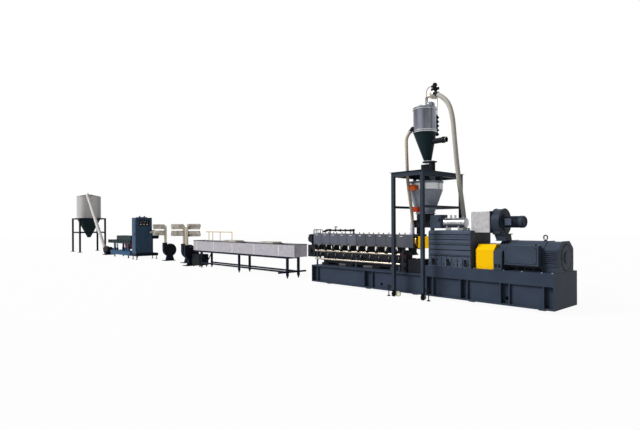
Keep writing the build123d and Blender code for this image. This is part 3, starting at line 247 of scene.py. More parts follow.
def studio_material(name, colour):
    """Pale floor paint that the camera and mirrors see nearly white, with the shadow kept."""
    material = bpy.data.materials.new(name)
    material.use_nodes = True
    tree = material.node_tree
    shader = tree.nodes["Principled BSDF"]
    shader.inputs["Base Color"].default_value = colour
    shader.inputs["Roughness"].default_value = 0.8
    glow = add_node(tree, "Emission", {"Strength": FLOOR_GLOW})
    share = add_node(tree, "Math", {1: FLOOR_GLOW_SHARE}, "MULTIPLY")
    tree.links.new(seen_rays(tree, "Is Camera Ray", "Is Glossy Ray"), share.inputs[0])
    mix_shaders(tree, share.outputs["Value"], shader.outputs["BSDF"], glow.outputs["Emission"],
        "Material Output")
    return material


FLOOR_HALF = 60
FLOOR_CENTRE_X = -9

floor_mesh = bpy.data.meshes.new("floor")
floor_mesh.from_pydata([(FLOOR_CENTRE_X + x * FLOOR_HALF, y * FLOOR_HALF, 0)
    for x, y in ((-1, -1), (1, -1), (1, 1), (-1, 1))], [], [(0, 1, 2, 3)])
floor = bpy.data.objects.new("floor", floor_mesh)
bpy.context.collection.objects.link(floor)
floor_mesh.materials.append(studio_material("floor_paint", FLOOR_COLOUR))

FILL_LEVEL = 0.16
KEY_LEVEL = 3
KEY_TRAVEL = (0.55, 0.75, -0.75)
TOP_LEVEL = 0.35
TOP_TRAVEL = (0.1, 0.2, -1)
SOFTNESS = math.radians(28)

world = bpy.data.worlds.new("studio")
bpy.context.scene.world = world
world.use_nodes = True
world_tree = world.node_tree
fill = world_tree.nodes["Background"]
fill.inputs["Color"].default_value = (1, 1, 1, 1)
fill.inputs["Strength"].default_value = FILL_LEVEL
backdrop = add_node(world_tree, "Background", {"Color": (1, 1, 1, 1), "Strength": 1})
world_rays = seen_rays(world_tree, "Is Camera Ray", "Is Glossy Ray", "Is Transmission Ray")
mix_shaders(world_tree, world_rays, fill.outputs["Background"], backdrop.outputs["Background"],
    "World Output")


def sun(name, travel, level, softness):
    """A soft lamp that lights the whole line evenly from one side."""
    lamp = bpy.data.lights.new(name, "SUN")
    lamp.energy = level
    lamp.angle = softness
    holder = bpy.data.objects.new(name, lamp)
    bpy.context.collection.objects.link(holder)
    holder.rotation_mode = "QUATERNION"
    holder.rotation_quaternion = Vector(travel).to_track_quat("-Z", "Y")


sun("key_lamp", KEY_TRAVEL, KEY_LEVEL, SOFTNESS)
sun("top_lamp", TOP_TRAVEL, TOP_LEVEL, SOFTNESS)

# Mesh tools

UP = (0, 0, 1)
RIGHT = (1, 0, 0)
LEFT = (-1, 0, 0)
NEAR = (0, -1, 0)
FAR = (0, 1, 0)
SHARP_ANGLE = math.radians(34)
BEND_STEPS = 6


def ring(centre, across, other, radius, sides):
    """Points around a circle, from its centre and two directions across its axis."""
    turns = [2 * math.pi * side / sides for side in range(sides)]
    return [centre + (across * math.cos(a) + other * math.sin(a)) * radius for a in turns]


def rings_along(line, radii, across, sides):
    """A ring at each point of a line, square to it and kept from twisting."""
    rings = []
    for index, radius in enumerate(radii):
        ahead = line[min(index + 1, len(line) - 1)]
        behind = line[max(index - 1, 0)]
        along = (ahead - behind).normalized()
        across = (across - along * across.dot(along)).normalized()
        rings.append(ring(line[index], across, along.cross(across), radius, sides))
    return rings


def circle(middle, radius, count, phase=0):
    """Places spaced evenly around a circle, as pairs of values."""
    turns = [math.tau * (index + phase) / count for index in range(count)]
    return [(middle[0] + radius * math.cos(a), middle[1] + radius * math.sin(a)) for a in turns]


def span(middle, half):
    """Both ends of a stretch, from its middle and half its length."""
    return middle - half, middle + half


def band(radius, width, height, edge):
    """The profile of a raised band around a round body, with sloping edges."""
    return [(0, radius), (edge, radius + height), (width - edge, radius + height), (width, radius)]


class Form:
    """One piece of the scene, gathered from simple solids in metres."""

    def __init__(self):
        self.mesh = bmesh.new()

    def skin(self, rings):
        """Close a run of rings, each a list of points, with faces between them and at both ends."""
        corners = [[self.mesh.verts.new(point) for point in ring] for ring in rings]
        sides = len(corners[0])
        for before, after in zip(corners, corners[1:]):
            for side in range(sides):
                following = (side + 1) % sides
                self.mesh.faces.new((before[side], before[following], after[following], after[side]))
        self.mesh.faces.new(list(reversed(corners[0])))
        self.mesh.faces.new(corners[-1])

    def block(self, x_min, x_max, y_min, y_max, z_min, z_max):
        """A plate or a box by its faces."""
        outline = ((x_min, y_min), (x_max, y_min), (x_max, y_max), (x_min, y_max))
        self.skin([[(x, y, z) for x, y in outline] for z in (z_min, z_max)])

    def prism(self, outline, axis, start, end):
        """An outline drawn out along X, Y or Z; its points are the two other axes in their order."""
        rings = []
        for place in (start, end):
            if axis == "X":
                rings.append([(place, a, b) for a, b in outline])
            elif axis == "Y":
                rings.append([(a, place, b) for a, b in outline])
            else:
                rings.append([(a, b, place) for a, b in outline])
        self.skin(rings)

    def turned(self, start, along, profile, sides=28):
        """A turned shape from points of distance along its axis and radius."""
        axis = Vector(along).normalized()
        across = axis.orthogonal().normalized()
        other = axis.cross(across)
        self.skin([ring(Vector(start) + axis * distance, across, other, radius, sides)
            for distance, radius in profile])

    def rod(self, start, end, radius, sides=16):
        """A round bar from one point to another."""
        run = Vector(end) - Vector(start)
        self.turned(start, run, [(0, radius), (run.length, radius)], sides)

    def pipe(self, points, radius, bend, sides=14):
        """A rigid pipe whose corners are bent to one radius."""
        line = bent_line([Vector(point) for point in points], bend)
        across = (line[1] - line[0]).orthogonal().normalized()
        self.skin(rings_along(line, [radius] * len(line), across, sides))

    def bolts(self, places, along, radius=0.011, height=0.009):
        """Hexagon bolt heads that stand on a face, with a washer under each."""
        for place in places:
            self.turned(place, along, [(0, radius * 1.5), (height * 0.25, radius * 1.5)], 12)
            self.turned(place, along, [(0, radius), (height * 0.85, radius), (height, radius * 0.85)], 6)

    def as_object(self, name, material):
        """The gathered mesh as a smooth object."""
        for face in self.mesh.faces:
            face.smooth = True
        mesh = bpy.data.meshes.new(name)
        self.mesh.to_mesh(mesh)
        self.mesh.free()
        mesh.materials.append(material)
        piece = bpy.data.objects.new(name, mesh)
        bpy.context.collection.objects.link(piece)
        return piece

    def finish(self, name, material, *replaced, bevel=0):
        """Turn what was gathered into an object that rides with the line."""
        bmesh.ops.recalc_face_normals(self.mesh, faces=self.mesh.faces)
        for edge in self.mesh.edges:
            edge.smooth = edge.calc_face_angle(0) < SHARP_ANGLE
        piece = self.as_object(name, material)
        if bevel:
            edges = piece.modifiers.new("edges", "BEVEL")
            edges.width = bevel
            edges.segments = 1
            edges.limit_method = "ANGLE"
            edges.angle_limit = SHARP_ANGLE
        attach(piece, "root")
        if replaced:
            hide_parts(*replaced)


def turned_piece(name, material, start, along, profile, sides, *replaced):
    """A piece that is one turned shape."""
    form = Form()
    form.turned(start, along, profile, sides)
    form.finish(name, material, *replaced)


def bent_line(corners, bend):
    """The middle line of a bent pipe: straight runs with each corner rounded off."""
    line = [corners[0]]
    for before, corner, after in zip(corners, corners[1:], corners[2:]):
        inward = (before - corner).normalized()
        outward = (after - corner).normalized()
        angle = inward.angle(outward)
        if math.pi - angle < 0.02:
            continue
        cut = min(bend / math.tan(angle / 2), (before - corner).length * 0.49,
            (after - corner).length * 0.49)
        for step in range(BEND_STEPS + 1):
            share = step / BEND_STEPS
            first = corner + inward * cut * (1 - share)
            second = corner + outward * cut * share
            line.append(first.lerp(second, share))
    line.append(corners[-1])
    return line


def scroll_outline(centre, radius, growth, mouth_width, mouth_height, turn=0):
    """The side of a fan housing: a spiral that grows towards a straight mouth."""
    steps = 36
    points = []
    for step in range(steps + 1):
        angle = math.radians(90 - 360 * step / steps * 0.75)
        reach = radius + 3 * growth * step / steps
        points.append((reach * math.cos(angle), reach * math.sin(angle)))
    widest = radius + 3 * growth
    points += [(-widest, mouth_height), (mouth_width - widest, mouth_height),
        (mouth_width - widest, radius * 0.75)]
    cos_turn, sin_turn = math.cos(turn), math.sin(turn)
    return [(centre[0] + a * cos_turn - b * sin_turn, centre[1] + a * sin_turn + b * cos_turn)
        for a, b in points]


# Loader hoses

FEED_HOSE_RADIUS = 0.037
FEED_HOSE_POINTS = [
    (-0.08, -0.235, 3.665),
    (-0.115, -0.345, 3.53),
    (-0.055, -0.42, 3.33),
    (-0.02, -0.45, 2.99),
    (0, -0.45, 2.5),
    (0.028, -0.4, 2.1),
    (-0.1, -0.155, 1.8),
    (-0.1, -0.155, 1.6),
]
VACUUM_HOSE_RADIUS = 0.052
VACUUM_HOSE_POINTS = [
    (0.48, -0.019, 4.426),
    (0.7, -0.01, 4.3),
    (0.84, 0.01, 3.95),
    (0.86, 0.06, 3.4),
    (0.85, 0.2, 2.68),
    (0.87, 0.37, 1.9),
    (0.905, 0.415, 1.35),
    (0.905, 0.415, 0.95),
]
HOSE_RIB_PITCH = 0.016
HOSE_RIB_HEIGHT = 0.0025
HOSE_SIDES = 14


def route_line(name, route):
    """The hose's centre line: a smooth spline over the route, read back as points."""
    curve = bpy.data.curves.new(name, "CURVE")
    curve.dimensions = "3D"
    spline = curve.splines.new("NURBS")
    spline.points.add(len(route) - 1)
    for point, place in zip(spline.points, route):
        point.co = (*place, 1)
    spline.order_u = 3
    spline.use_endpoint_u = True
    curve.resolution_u = 24
    holder = bpy.data.objects.new(name, curve)
    sampled = bpy.data.meshes.new_from_object(holder)
    line = [vertex.co.copy() for vertex in sampled.vertices]
    bpy.data.objects.remove(holder)
    return line


def spaced(line, step):
    """Points a fixed step apart along the line, and the line's length."""
    distances = [0]
    for before, after in zip(line, line[1:]):
        distances.append(distances[-1] + (after - before).length)
    total = distances[-1]
    count = max(2, round(total / step))
    points = []
    segment = 0
    for index in range(count + 1):
        target = total * index / count
        while segment < len(line) - 2 and distances[segment + 1] < target:
            segment += 1
        span = distances[segment + 1] - distances[segment]
        share = (target - distances[segment]) / span if span else 0
        points.append(line[segment].lerp(line[segment + 1], share))
    return points, total


def ribbed_hose(name, route, radius, material, node):
    """A suction hose with raised ribs around it, in place of its plain model."""
    points, length = spaced(route_line(name + "_line", route), HOSE_RIB_PITCH / 2)
    radii = [radius - (0 if index % 2 else HOSE_RIB_HEIGHT) for index in range(len(points))]
    hose = Form()
    hose.skin(rings_along(points, radii, Vector(FAR), HOSE_SIDES))
    piece = hose.as_object(name, material)
    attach(piece, "root")
    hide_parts(node)


feed_hose_plastic = surface("feed_hose_plastic", (196, 182, 168), 0.45, mottling=0.08, grain=30)
vacuum_hose_plastic = surface("vacuum_hose_plastic", (196, 192, 182), 0.45, mottling=0.1, grain=30)
ribbed_hose("feed_hose_ribbed", FEED_HOSE_POINTS, FEED_HOSE_RADIUS, feed_hose_plastic, "feed_hose")
ribbed_hose("vacuum_hose_ribbed", VACUUM_HOSE_POINTS, VACUUM_HOSE_RADIUS, vacuum_hose_plastic,
    "vacuum_hose")

# Main motor, its terminal box and the cooling fan

DRIVE_TOP = 0.704
MOTOR_Y = 0.03
MOTOR_FACE_Y = -0.3
MOTOR_FAR_Y = 0.36
MOTOR_START_X = 2.01
MOTOR_END_X = 3.135
LOUVRE_START_X = 2.862
LOUVRE_BOTTOM = DRIVE_TOP + 0.128
LOUVRE_TOP = DRIVE_TOP + 0.375
LOUVRE_COUNT = 7
FRAME_WIDTH = 0.026
BELL_Z = DRIVE_TOP + 0.261


def motor_outline(half_width, shoulder, top, slope):
    """The section of the motor with its two sloping upper faces."""
    half = [(half_width, 0), (half_width, shoulder), (half_width - slope, top)]
    outline = half + [(-y, z) for y, z in reversed(half)]
    return [(MOTOR_Y + y, DRIVE_TOP + z) for y, z in outline]


body = Form()
for half_width, shoulder, top, slope, start_x, end_x in (
        (0.33, 0.419, 0.549, 0.17, MOTOR_START_X, LOUVRE_START_X),
        (0.326, 0.412, 0.54, 0.165, LOUVRE_START_X, MOTOR_END_X - 0.012),
        (0.332, 0.424, 0.555, 0.172, LOUVRE_START_X - 0.014, LOUVRE_START_X + 0.01),
        (0.332, 0.424, 0.555, 0.172, MOTOR_END_X - 0.024, MOTOR_END_X - 0.004),
        (0.515, 0.35, 0.425, 0.19, MOTOR_START_X, 2.18),
        (0.335, 0.424, 0.556, 0.172, 2.17, 2.195)):
    body.prism(motor_outline(half_width, shoulder, top, slope), "X", start_x, end_x)
body.turned((MOTOR_END_X - 0.014, MOTOR_Y, BELL_Z), RIGHT,
    [(0, 0.245), (0.01, 0.245), (0.01, 0.228), (0.016, 0.222), (0.016, 0.118), (0.034, 0.108),
    (0.036, 0.06)], 40)
for side_y, outward in ((MOTOR_FACE_Y, -1), (MOTOR_FAR_Y, 1)):
    low, high = sorted((side_y, side_y + outward * 0.012))
    for low_z in (LOUVRE_BOTTOM - FRAME_WIDTH, LOUVRE_TOP):
        body.block(LOUVRE_START_X, MOTOR_END_X - 0.006, low, high, low_z, low_z + FRAME_WIDTH)
    body.block(LOUVRE_START_X, LOUVRE_START_X + FRAME_WIDTH, low, high, LOUVRE_BOTTOM, LOUVRE_TOP)
    body.block(MOTOR_END_X - FRAME_WIDTH, MOTOR_END_X - 0.006, low, high, LOUVRE_BOTTOM, LOUVRE_TOP)
body.finish("motor_body", motor_paint, "main_motor", bevel=0.004)

louvres = Form()
blade_pitch = (LOUVRE_TOP - LOUVRE_BOTTOM) / LOUVRE_COUNT
for side_y, outward in ((MOTOR_FACE_Y, -1), (MOTOR_FAR_Y, 1)):
    for blade in range(LOUVRE_COUNT):
        blade_z = LOUVRE_BOTTOM + (blade + 0.15) * blade_pitch
        louvres.prism([(side_y, blade_z + blade_pitch * 0.7), (side_y, blade_z + blade_pitch * 0.5),
            (side_y + outward * 0.014, blade_z), (side_y + outward * 0.017, blade_z + 0.003)], "X",
            LOUVRE_START_X + FRAME_WIDTH, MOTOR_END_X - FRAME_WIDTH)
louvres.finish("motor_louvres", slate_paint)

# Thin black plates on the motor faces and behind the louvres: painted shade in the openings and recesses.
shade_plates = Form()
for face_y in (-0.487, 0.547):
    for window_x in (2.035, 2.105):
        shade_plates.block(window_x, window_x + 0.048, face_y,
            face_y + 0.004 if face_y > 0 else face_y - 0.001, DRIVE_TOP + 0.05, DRIVE_TOP + 0.116)
for window_x in (2.23, 2.39, 2.55, 2.7):
    shade_plates.block(window_x, window_x + 0.12, MOTOR_FACE_Y - 0.003, MOTOR_FACE_Y, DRIVE_TOP + 0.02,
        DRIVE_TOP + 0.066)
for low_y in (MOTOR_FACE_Y - 0.002, MOTOR_FAR_Y):
    shade_plates.block(LOUVRE_START_X + FRAME_WIDTH, MOTOR_END_X - FRAME_WIDTH, low_y, low_y + 0.002,
        LOUVRE_BOTTOM, LOUVRE_TOP)
shade_plates.finish("motor_shade_plates", black_steel)

doors = Form()
doors.block(2.205, 2.835, -0.443, -0.3, DRIVE_TOP + 0.111, DRIVE_TOP + 0.474)
doors.block(2.245, 2.8, -0.452, -0.443, DRIVE_TOP + 0.146, DRIVE_TOP + 0.44)
doors.block(2.3, 2.745, -0.455, -0.452, DRIVE_TOP + 0.185, DRIVE_TOP + 0.4)
for hinge_z in (DRIVE_TOP + 0.17, DRIVE_TOP + 0.37):
    doors.rod((2.238, -0.447, hinge_z), (2.238, -0.447, hinge_z + 0.05), 0.007, 10)
doors.finish("terminal_box_body", motor_paint, "motor_terminal_box", bevel=0.004)

fasteners = Form()
fasteners.bolts([(x, -0.452, z) for x in (2.262, 2.783) for z in (DRIVE_TOP + 0.163, DRIVE_TOP + 0.423)],
    NEAR, 0.007, 0.006)
fasteners.bolts([(MOTOR_END_X - 0.002, y, z) for y, z in circle((MOTOR_Y, BELL_Z), 0.236, 12)], RIGHT,
    0.008, 0.007)
EYE_X = 2.77
EYE_Z = DRIVE_TOP + 0.545
fasteners.turned((EYE_X, MOTOR_Y, EYE_Z), UP, [(0, 0.034), (0.014, 0.034), (0.022, 0.02), (0.036, 0.018)],
    14)
fasteners.pipe([(EYE_X - 0.03, MOTOR_Y, EYE_Z + 0.034), (EYE_X - 0.034, MOTOR_Y, EYE_Z + 0.108),
    (EYE_X + 0.034, MOTOR_Y, EYE_Z + 0.108), (EYE_X + 0.03, MOTOR_Y, EYE_Z + 0.034)], 0.011, 0.03)
fasteners.block(EYE_X - 0.042, EYE_X - 0.02, -0.332, -0.304, DRIVE_TOP + 0.36, DRIVE_TOP + 0.5)
fasteners.finish("motor_bolts", dark_iron)

FAN_AXIS = (-0.12, 1.612)
FAN_MOTOR_X = 2.079
FAN_MOTOR_LENGTH = 0.385
FIN_COUNT = 13
fan_motor = Form()
fan_profile = [(0, 0.153), (0.012, 0.153), (0.024, 0.1)]
fin_pitch = (FAN_MOTOR_LENGTH - 0.13) / FIN_COUNT
for fin in range(FIN_COUNT):
    fin_x = 0.03 + fin * fin_pitch
    fan_profile += [(fin_x, 0.096), (fin_x, 0.112), (fin_x + fin_pitch * 0.45, 0.112),
        (fin_x + fin_pitch * 0.45, 0.096)]
cowl = FAN_MOTOR_LENGTH - 0.095
fan_profile += [(cowl, 0.096), (cowl, 0.116), (cowl + 0.07, 0.114), (cowl + 0.093, 0.094),
    (cowl + 0.093, 0.072), (cowl + 0.08, 0.07), (cowl + 0.08, 0.018)]
fan_motor.turned((FAN_MOTOR_X, *FAN_AXIS), RIGHT, fan_profile, 36)
fan_motor.finish("fan_motor_body", fan_paint, "fan_motor", bevel=0.002)
fan_switch = Form()
fan_switch.block(FAN_MOTOR_X + 0.055, FAN_MOTOR_X + 0.175, -0.262, -0.2, 1.552, 1.672)
fan_switch.block(FAN_MOTOR_X + 0.05, FAN_MOTOR_X + 0.18, -0.268, -0.262, 1.547, 1.677)
fan_switch.finish("fan_motor_box", gearbox_paint, bevel=0.004)

VOLUTE_X = 1.892
VOLUTE_WIDTH = 0.175
VOLUTE_RADIUS = 0.252
VOLUTE_RIM = 0.264
FAN_FLANGE_TOP = 1.385
volute = Form()
volute.turned((VOLUTE_X, *FAN_AXIS), RIGHT, [(0, VOLUTE_RIM), (0.006, VOLUTE_RIM), (0.006, VOLUTE_RADIUS),
    (VOLUTE_WIDTH - 0.006, VOLUTE_RADIUS), (VOLUTE_WIDTH - 0.006, VOLUTE_RIM), (VOLUTE_WIDTH, VOLUTE_RIM),
    (VOLUTE_WIDTH, 0.178), (VOLUTE_WIDTH + 0.01, 0.17)], 56)
volute.block(VOLUTE_X + 0.01, VOLUTE_X + 0.165, -0.3, 0.02, FAN_FLANGE_TOP, 1.5)
volute.block(1.895, 2.144, -0.28, 0.04, 1.369, FAN_FLANGE_TOP)
volute.prism([(1.96, 1.25), (2.14, 1.25), (2.125, 1.369), (1.912, 1.369)], "Y", -0.25, 0.01)
volute.block(1.945, 2.16, -0.265, 0.025, 1.246, 1.258)
volute.block(1.876, VOLUTE_X, -0.362, 0.162, 1.398, 1.825)
volute.bolts([(1.91 + 0.045 * index, -0.268, FAN_FLANGE_TOP) for index in range(6)], UP, 0.007, 0.007)
volute.finish("fan_volute_body", fan_paint, "fan_volute", bevel=0.002)

filter_box = Form()
FILTER_RINGS = ((1.476, 0.985), (1.5, 1), (1.58, 1.006), (1.672, 0.988), (1.76, 1.006), (1.85, 1),
    (1.876, 0.985))
filter_middle = (-0.1, 1.611)
filter_box.skin([[(x, filter_middle[0] + a * 0.25 * puff, filter_middle[1] + b * 0.206 * puff)
    for a, b in ((-1, -0.97), (-0.97, -1), (0.97, -1), (1, -0.97), (1, 0.97), (0.97, 1), (-0.97, 1),
    (-1, 0.97))] for x, puff in FILTER_RINGS])
filter_box.finish("filter_box_body", filter_felt, "fan_filter_box")

GUARD_START_X = 1.635
GUARD_END_X = 2
guard = Form()
for half_width, shoulder, top_half, top, start_x, end_x in (
        (0.44, 0.371, 0.335, 0.474, GUARD_START_X, GUARD_END_X),
        (0.446, 0.374, 0.338, 0.48, GUARD_START_X - 0.004, GUARD_START_X + 0.004),
        (0.446, 0.374, 0.338, 0.48, GUARD_END_X - 0.004, GUARD_END_X + 0.004)):
    half = [(half_width, DRIVE_TOP), (half_width, DRIVE_TOP + shoulder), (top_half, DRIVE_TOP + top)]
    guard.prism([(-y, z) for y, z in half] + half[::-1], "X", start_x, end_x)
guard.finish("coupling_guard_body", yellow_paint, "coupling_guard", bevel=0.003)

# Gearbox fittings

GEARBOX_FACE_Y = -0.517
GEARBOX_TOP = 1.445
ribs = Form()
for rib_x in (0.64, 0.76, 0.88, 1, 1.12, 1.24, 1.36, 1.48):
    ribs.prism([(rib_x, DRIVE_TOP + 0.008), (rib_x + 0.024, DRIVE_TOP + 0.008), (rib_x + 0.02, 0.9),
        (rib_x + 0.004, 0.9)], "Y", -0.53, -0.514)
for place_x, place_y in ((0.64, 0.1), (1.43, -0.36), (1.43, 0.14)):
    ribs.turned((place_x, place_y, GEARBOX_TOP), UP,
        [(0, 0.034), (0.012, 0.034), (0.012, 0.02), (0.034, 0.02), (0.034, 0.03), (0.05, 0.028)], 20)
ribs.finish("gearbox_fittings", gearbox_paint, bevel=0.002)
# Thin black strips on the gearbox face: painted shade in its grooves and openings.
groove_shade_strips = Form()
for groove_z in (0.925, 1.05, 1.155, 1.26, 1.36):
    groove_shade_strips.block(0.59, 1.545, -0.5195, -0.515, groove_z, groove_z + 0.01)
    groove_shade_strips.block(0.59, 1.545, -0.5185, -0.515, groove_z - 0.006, groove_z - 0.002)
for window_x in (0.68, 1.03, 1.41):
    groove_shade_strips.block(window_x, window_x + 0.085, -0.532, -0.515, DRIVE_TOP + 0.03, DRIVE_TOP + 0.11)
groove_shade_strips.finish("gearbox_groove_shade", black_steel)

gearbox_bolts = Form()
gearbox_bolts.bolts([(0.64 + index * 0.08, GEARBOX_FACE_Y, 0.835) for index in range(12)], NEAR, 0.008,
    0.008)
gearbox_bolts.bolts([(0.583, y * 0.15 - 0.4, z) for y in range(5) for z in (1.1, 0.77)], LEFT, 0.011,
    0.01)
gearbox_bolts.finish("gearbox_bolts", dark_iron)

# Base

BASE_FACE_Y = -0.517
base_trim = Form()
base_trim.bolts([(x, BASE_FACE_Y + 0.06, DRIVE_TOP) for x in (1.6, 1.85, 2.2, 2.55, 2.9, 3.08)], UP,
    0.014, 0.014)
base_trim.finish("base_bolts", zinc)

# Extruder covers and their small fittings

COVER_NEAR_Y = -0.215
COVER_TOP = 1.338
# Pale strips in the cover slots: painted light seen through the slots.
lit_slot_strips = Form()
strip_ends = []
for run in ("barrel_covers_left", "barrel_covers_right"):
    low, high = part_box(run)
    cover_pitch = (high[0] - low[0]) / 5
    for cover in range(5):
        cover_x = low[0] + cover * cover_pitch
        strip_ends.append(cover_x)
        slot_x = cover_x + cover_pitch * 0.3
        for low_y in (COVER_NEAR_Y - 0.0025, -COVER_NEAR_Y - 0.001):
            lit_slot_strips.block(slot_x, slot_x + 0.08, low_y, low_y + 0.0035, 1.292, 1.306)
lit_slot_strips.finish("cover_slot_light", pale_plastic)

cover_trim = Form()
for seam_x in strip_ends:
    cover_trim.block(*span(seam_x, 0.003), COVER_NEAR_Y - 0.0025, COVER_NEAR_Y, 1.045, 1.335)
    for knob_y in (-0.1, 0.1):
        cover_trim.turned((seam_x + 0.16, knob_y, COVER_TOP), UP,
            [(0, 0.012), (0.012, 0.007), (0.018, 0.014), (0.03, 0.016), (0.038, 0.01)], 14)
    cover_trim.turned((seam_x + 0.05, COVER_NEAR_Y, 1.075), NEAR,
        [(0, 0.008), (0.01, 0.011), (0.02, 0.008)], 12)
cover_trim.finish("cover_knobs", black_steel)

turned_piece("cover_end_strip", brass, (-0.03, 0, 1.19), RIGHT,
    [(0, 0.185), (0.044, 0.185), (0.05, 0.178)], 48)

# Barrel end, lantern guard and die

cover_end = Form()
cover_end.block(-0.189, -0.03, COVER_NEAR_Y, -COVER_NEAR_Y, 1.04, COVER_TOP)
cover_end.finish("cover_end_plate", right_cover_steel, bevel=0.004)
yellow_guard = Form()
yellow_guard.block(0.09, 0.575, -0.205, 0.205, 1.05, 1.308)
yellow_guard.finish("lantern_guard_body", yellow_paint, "lantern_guard", bevel=0.004)
die = Form()
die.turned((-3.45, 0, 1.19), RIGHT, [(0, 0.15), (0.03, 0.165), (0.05, 0.165), (0.05, 0.13)], 36)
die.prism([(-3.64, 1.15), (-3.62, 1.12), (-3.47, 1.06), (-3.47, 1.32), (-3.56, 1.32), (-3.64, 1.23)], "Y",
    -0.205, 0.205)
die.block(-3.69, -3.385, -0.165, 0.165, 0.69, 1.018)
die.block(-3.6, -3.4, -0.11, 0.11, 1, 1.09)
die.rod((-3.56, -0.23, 0.86), (-3.56, 0.23, 0.86), 0.06, 24)
die.bolts([(-3.6 + 0.1 * i, -0.205, 1.285) for i in range(2)], NEAR, 0.012, 0.014)
die.bolts([(-3.66 + 0.062 * i, -0.165, z) for i in range(5) for z in (0.72, 0.99)], NEAR, 0.009, 0.01)
die.finish("die_block", dark_iron, "die_head", bevel=0.004)

# Carrier beam with a saddle under each barrel joint

BARREL_JOINTS = 10
JOINT_PITCH = 0.322
CARRIER_START_X = -3.05
CARRIER_END_X = -0.33
CARRIER_TOP = 0.87
carrier = Form()
carrier.block(CARRIER_START_X, CARRIER_END_X, -0.16, 0.16, 0.56, CARRIER_TOP)
for panel in range(7):
    panel_x = CARRIER_START_X + 0.05 + panel * 0.385
    carrier.block(panel_x, panel_x + 0.335, -0.168, -0.16, 0.6, 0.835)
for plinth_x in (-2.95, -2.05, -1.15, -0.45):
    carrier.block(*span(plinth_x, 0.13), -0.2, 0.2, 0.508, 0.56)
for joint in range(BARREL_JOINTS):
    joint_x = -3.22 + (joint + 0.5) * JOINT_PITCH * 0.985
    carrier.prism([(joint_x - 0.085, CARRIER_TOP), (joint_x - 0.035, 0.935), (joint_x - 0.035, 0.985),
        (joint_x - 0.07, 1.078), (joint_x + 0.07, 1.078), (joint_x + 0.035, 0.985),
        (joint_x + 0.035, 0.935), (joint_x + 0.085, CARRIER_TOP)], "Y", -0.11, 0.11)
carrier.finish("carrier_beam", dark_iron, "barrel_supports", bevel=0.003)

# Cooling water: two pipes along the operator side, with a valve and a thin line for each barrel

PIPE_Y = -0.41
PIPE_UPPER_Z = 0.895
PIPE_LOWER_Z = 0.677
PIPE_START_X = -3.1
PIPE_END_X = -0.226
pipes = Form()
for pipe_z in (PIPE_UPPER_Z, PIPE_LOWER_Z):
    pipes.rod((PIPE_START_X, PIPE_Y, pipe_z), (PIPE_END_X, PIPE_Y, pipe_z), 0.024, 20)
    for coupling in range(6):
        coupling_x = PIPE_START_X + (coupling + 0.5) * 0.48
        pipes.rod((coupling_x, PIPE_Y, pipe_z), (coupling_x + 0.05, PIPE_Y, pipe_z), 0.029, 20)
pipes.finish("manifold_pipes", pipe_steel, "water_manifolds")
brackets = Form()
valve_bodies = Form()
coils = Form()
thin_lines = Form()
for bracket_x in (-3.06, -1.64, -0.3):
    brackets.block(*span(bracket_x, 0.028), PIPE_Y + 0.024, PIPE_Y + 0.04, 0.508, 0.93)
    brackets.block(*span(bracket_x, 0.028), PIPE_Y + 0.024, -0.15, 0.78, 0.8)
brackets.finish("manifold_brackets", slate_paint, bevel=0.002)
for joint in range(BARREL_JOINTS):
    valve_x = -3.12 + (joint + 0.5) * JOINT_PITCH * 0.905
    valve_bodies.turned((valve_x, PIPE_Y, PIPE_UPPER_Z + 0.015), UP,
        [(0, 0.02), (0.016, 0.03), (0.034, 0.02), (0.05, 0.028), (0.066, 0.018), (0.1, 0.012)], 14)
    valve_bodies.block(*span(valve_x, 0.022), PIPE_Y - 0.04, PIPE_Y - 0.008, 0.905, 0.95)
    valve_bodies.turned((valve_x + 0.06, PIPE_Y, PIPE_LOWER_Z + 0.015), UP,
        [(0, 0.018), (0.02, 0.028), (0.045, 0.028), (0.06, 0.012), (0.09, 0.01)], 14)
    coils.turned((valve_x, PIPE_Y - 0.04, 0.928), NEAR, [(0, 0.02), (0.026, 0.02), (0.032, 0.012)], 14)
    coils.block(valve_x + 0.09, valve_x + 0.145, -0.185, -0.168, 0.64, 0.72)
    thin_lines.pipe([(valve_x, PIPE_Y, 0.99), (valve_x, PIPE_Y, 1.052), (valve_x + 0.03, -0.24, 1.056),
        (valve_x + 0.03, -0.1, 1.062)], 0.008, 0.03, 8)
    thin_lines.pipe([(valve_x + 0.06, PIPE_Y, 0.77), (valve_x + 0.06, PIPE_Y, 0.84),
        (valve_x + 0.1, -0.26, 0.86), (valve_x + 0.1, -0.2, 1.05)], 0.006, 0.03, 8)
valve_bodies.finish("manifold_valves", dark_iron)
coils.finish("manifold_coils", black_steel)
thin_lines.finish("manifold_lines", pipe_steel, "barrel_water_lines")
rust_red = surface("rust_red", (66, 34, 30), 0.5)
turned_piece("filter_pot", rust_red, (-0.12, -0.412, 0.78), UP,
    [(0, 0.03), (0.03, 0.056), (0.11, 0.062), (0.17, 0.05), (0.2, 0.022), (0.225, 0.022)], 24)

# Feed tube that the left hose is pushed over

lavender_plastic = surface("lavender_plastic", (196, 192, 206), 0.45, mottling=0.06)
turned_piece("feed_tube_body", lavender_plastic, (-0.1, -0.155, 1.345), UP,
    [(0, 0.06), (0.014, 0.06), (0.014, 0.05), (0.235, 0.05), (0.255, 0.042)], 28)

# Steam and gas fittings on the covers

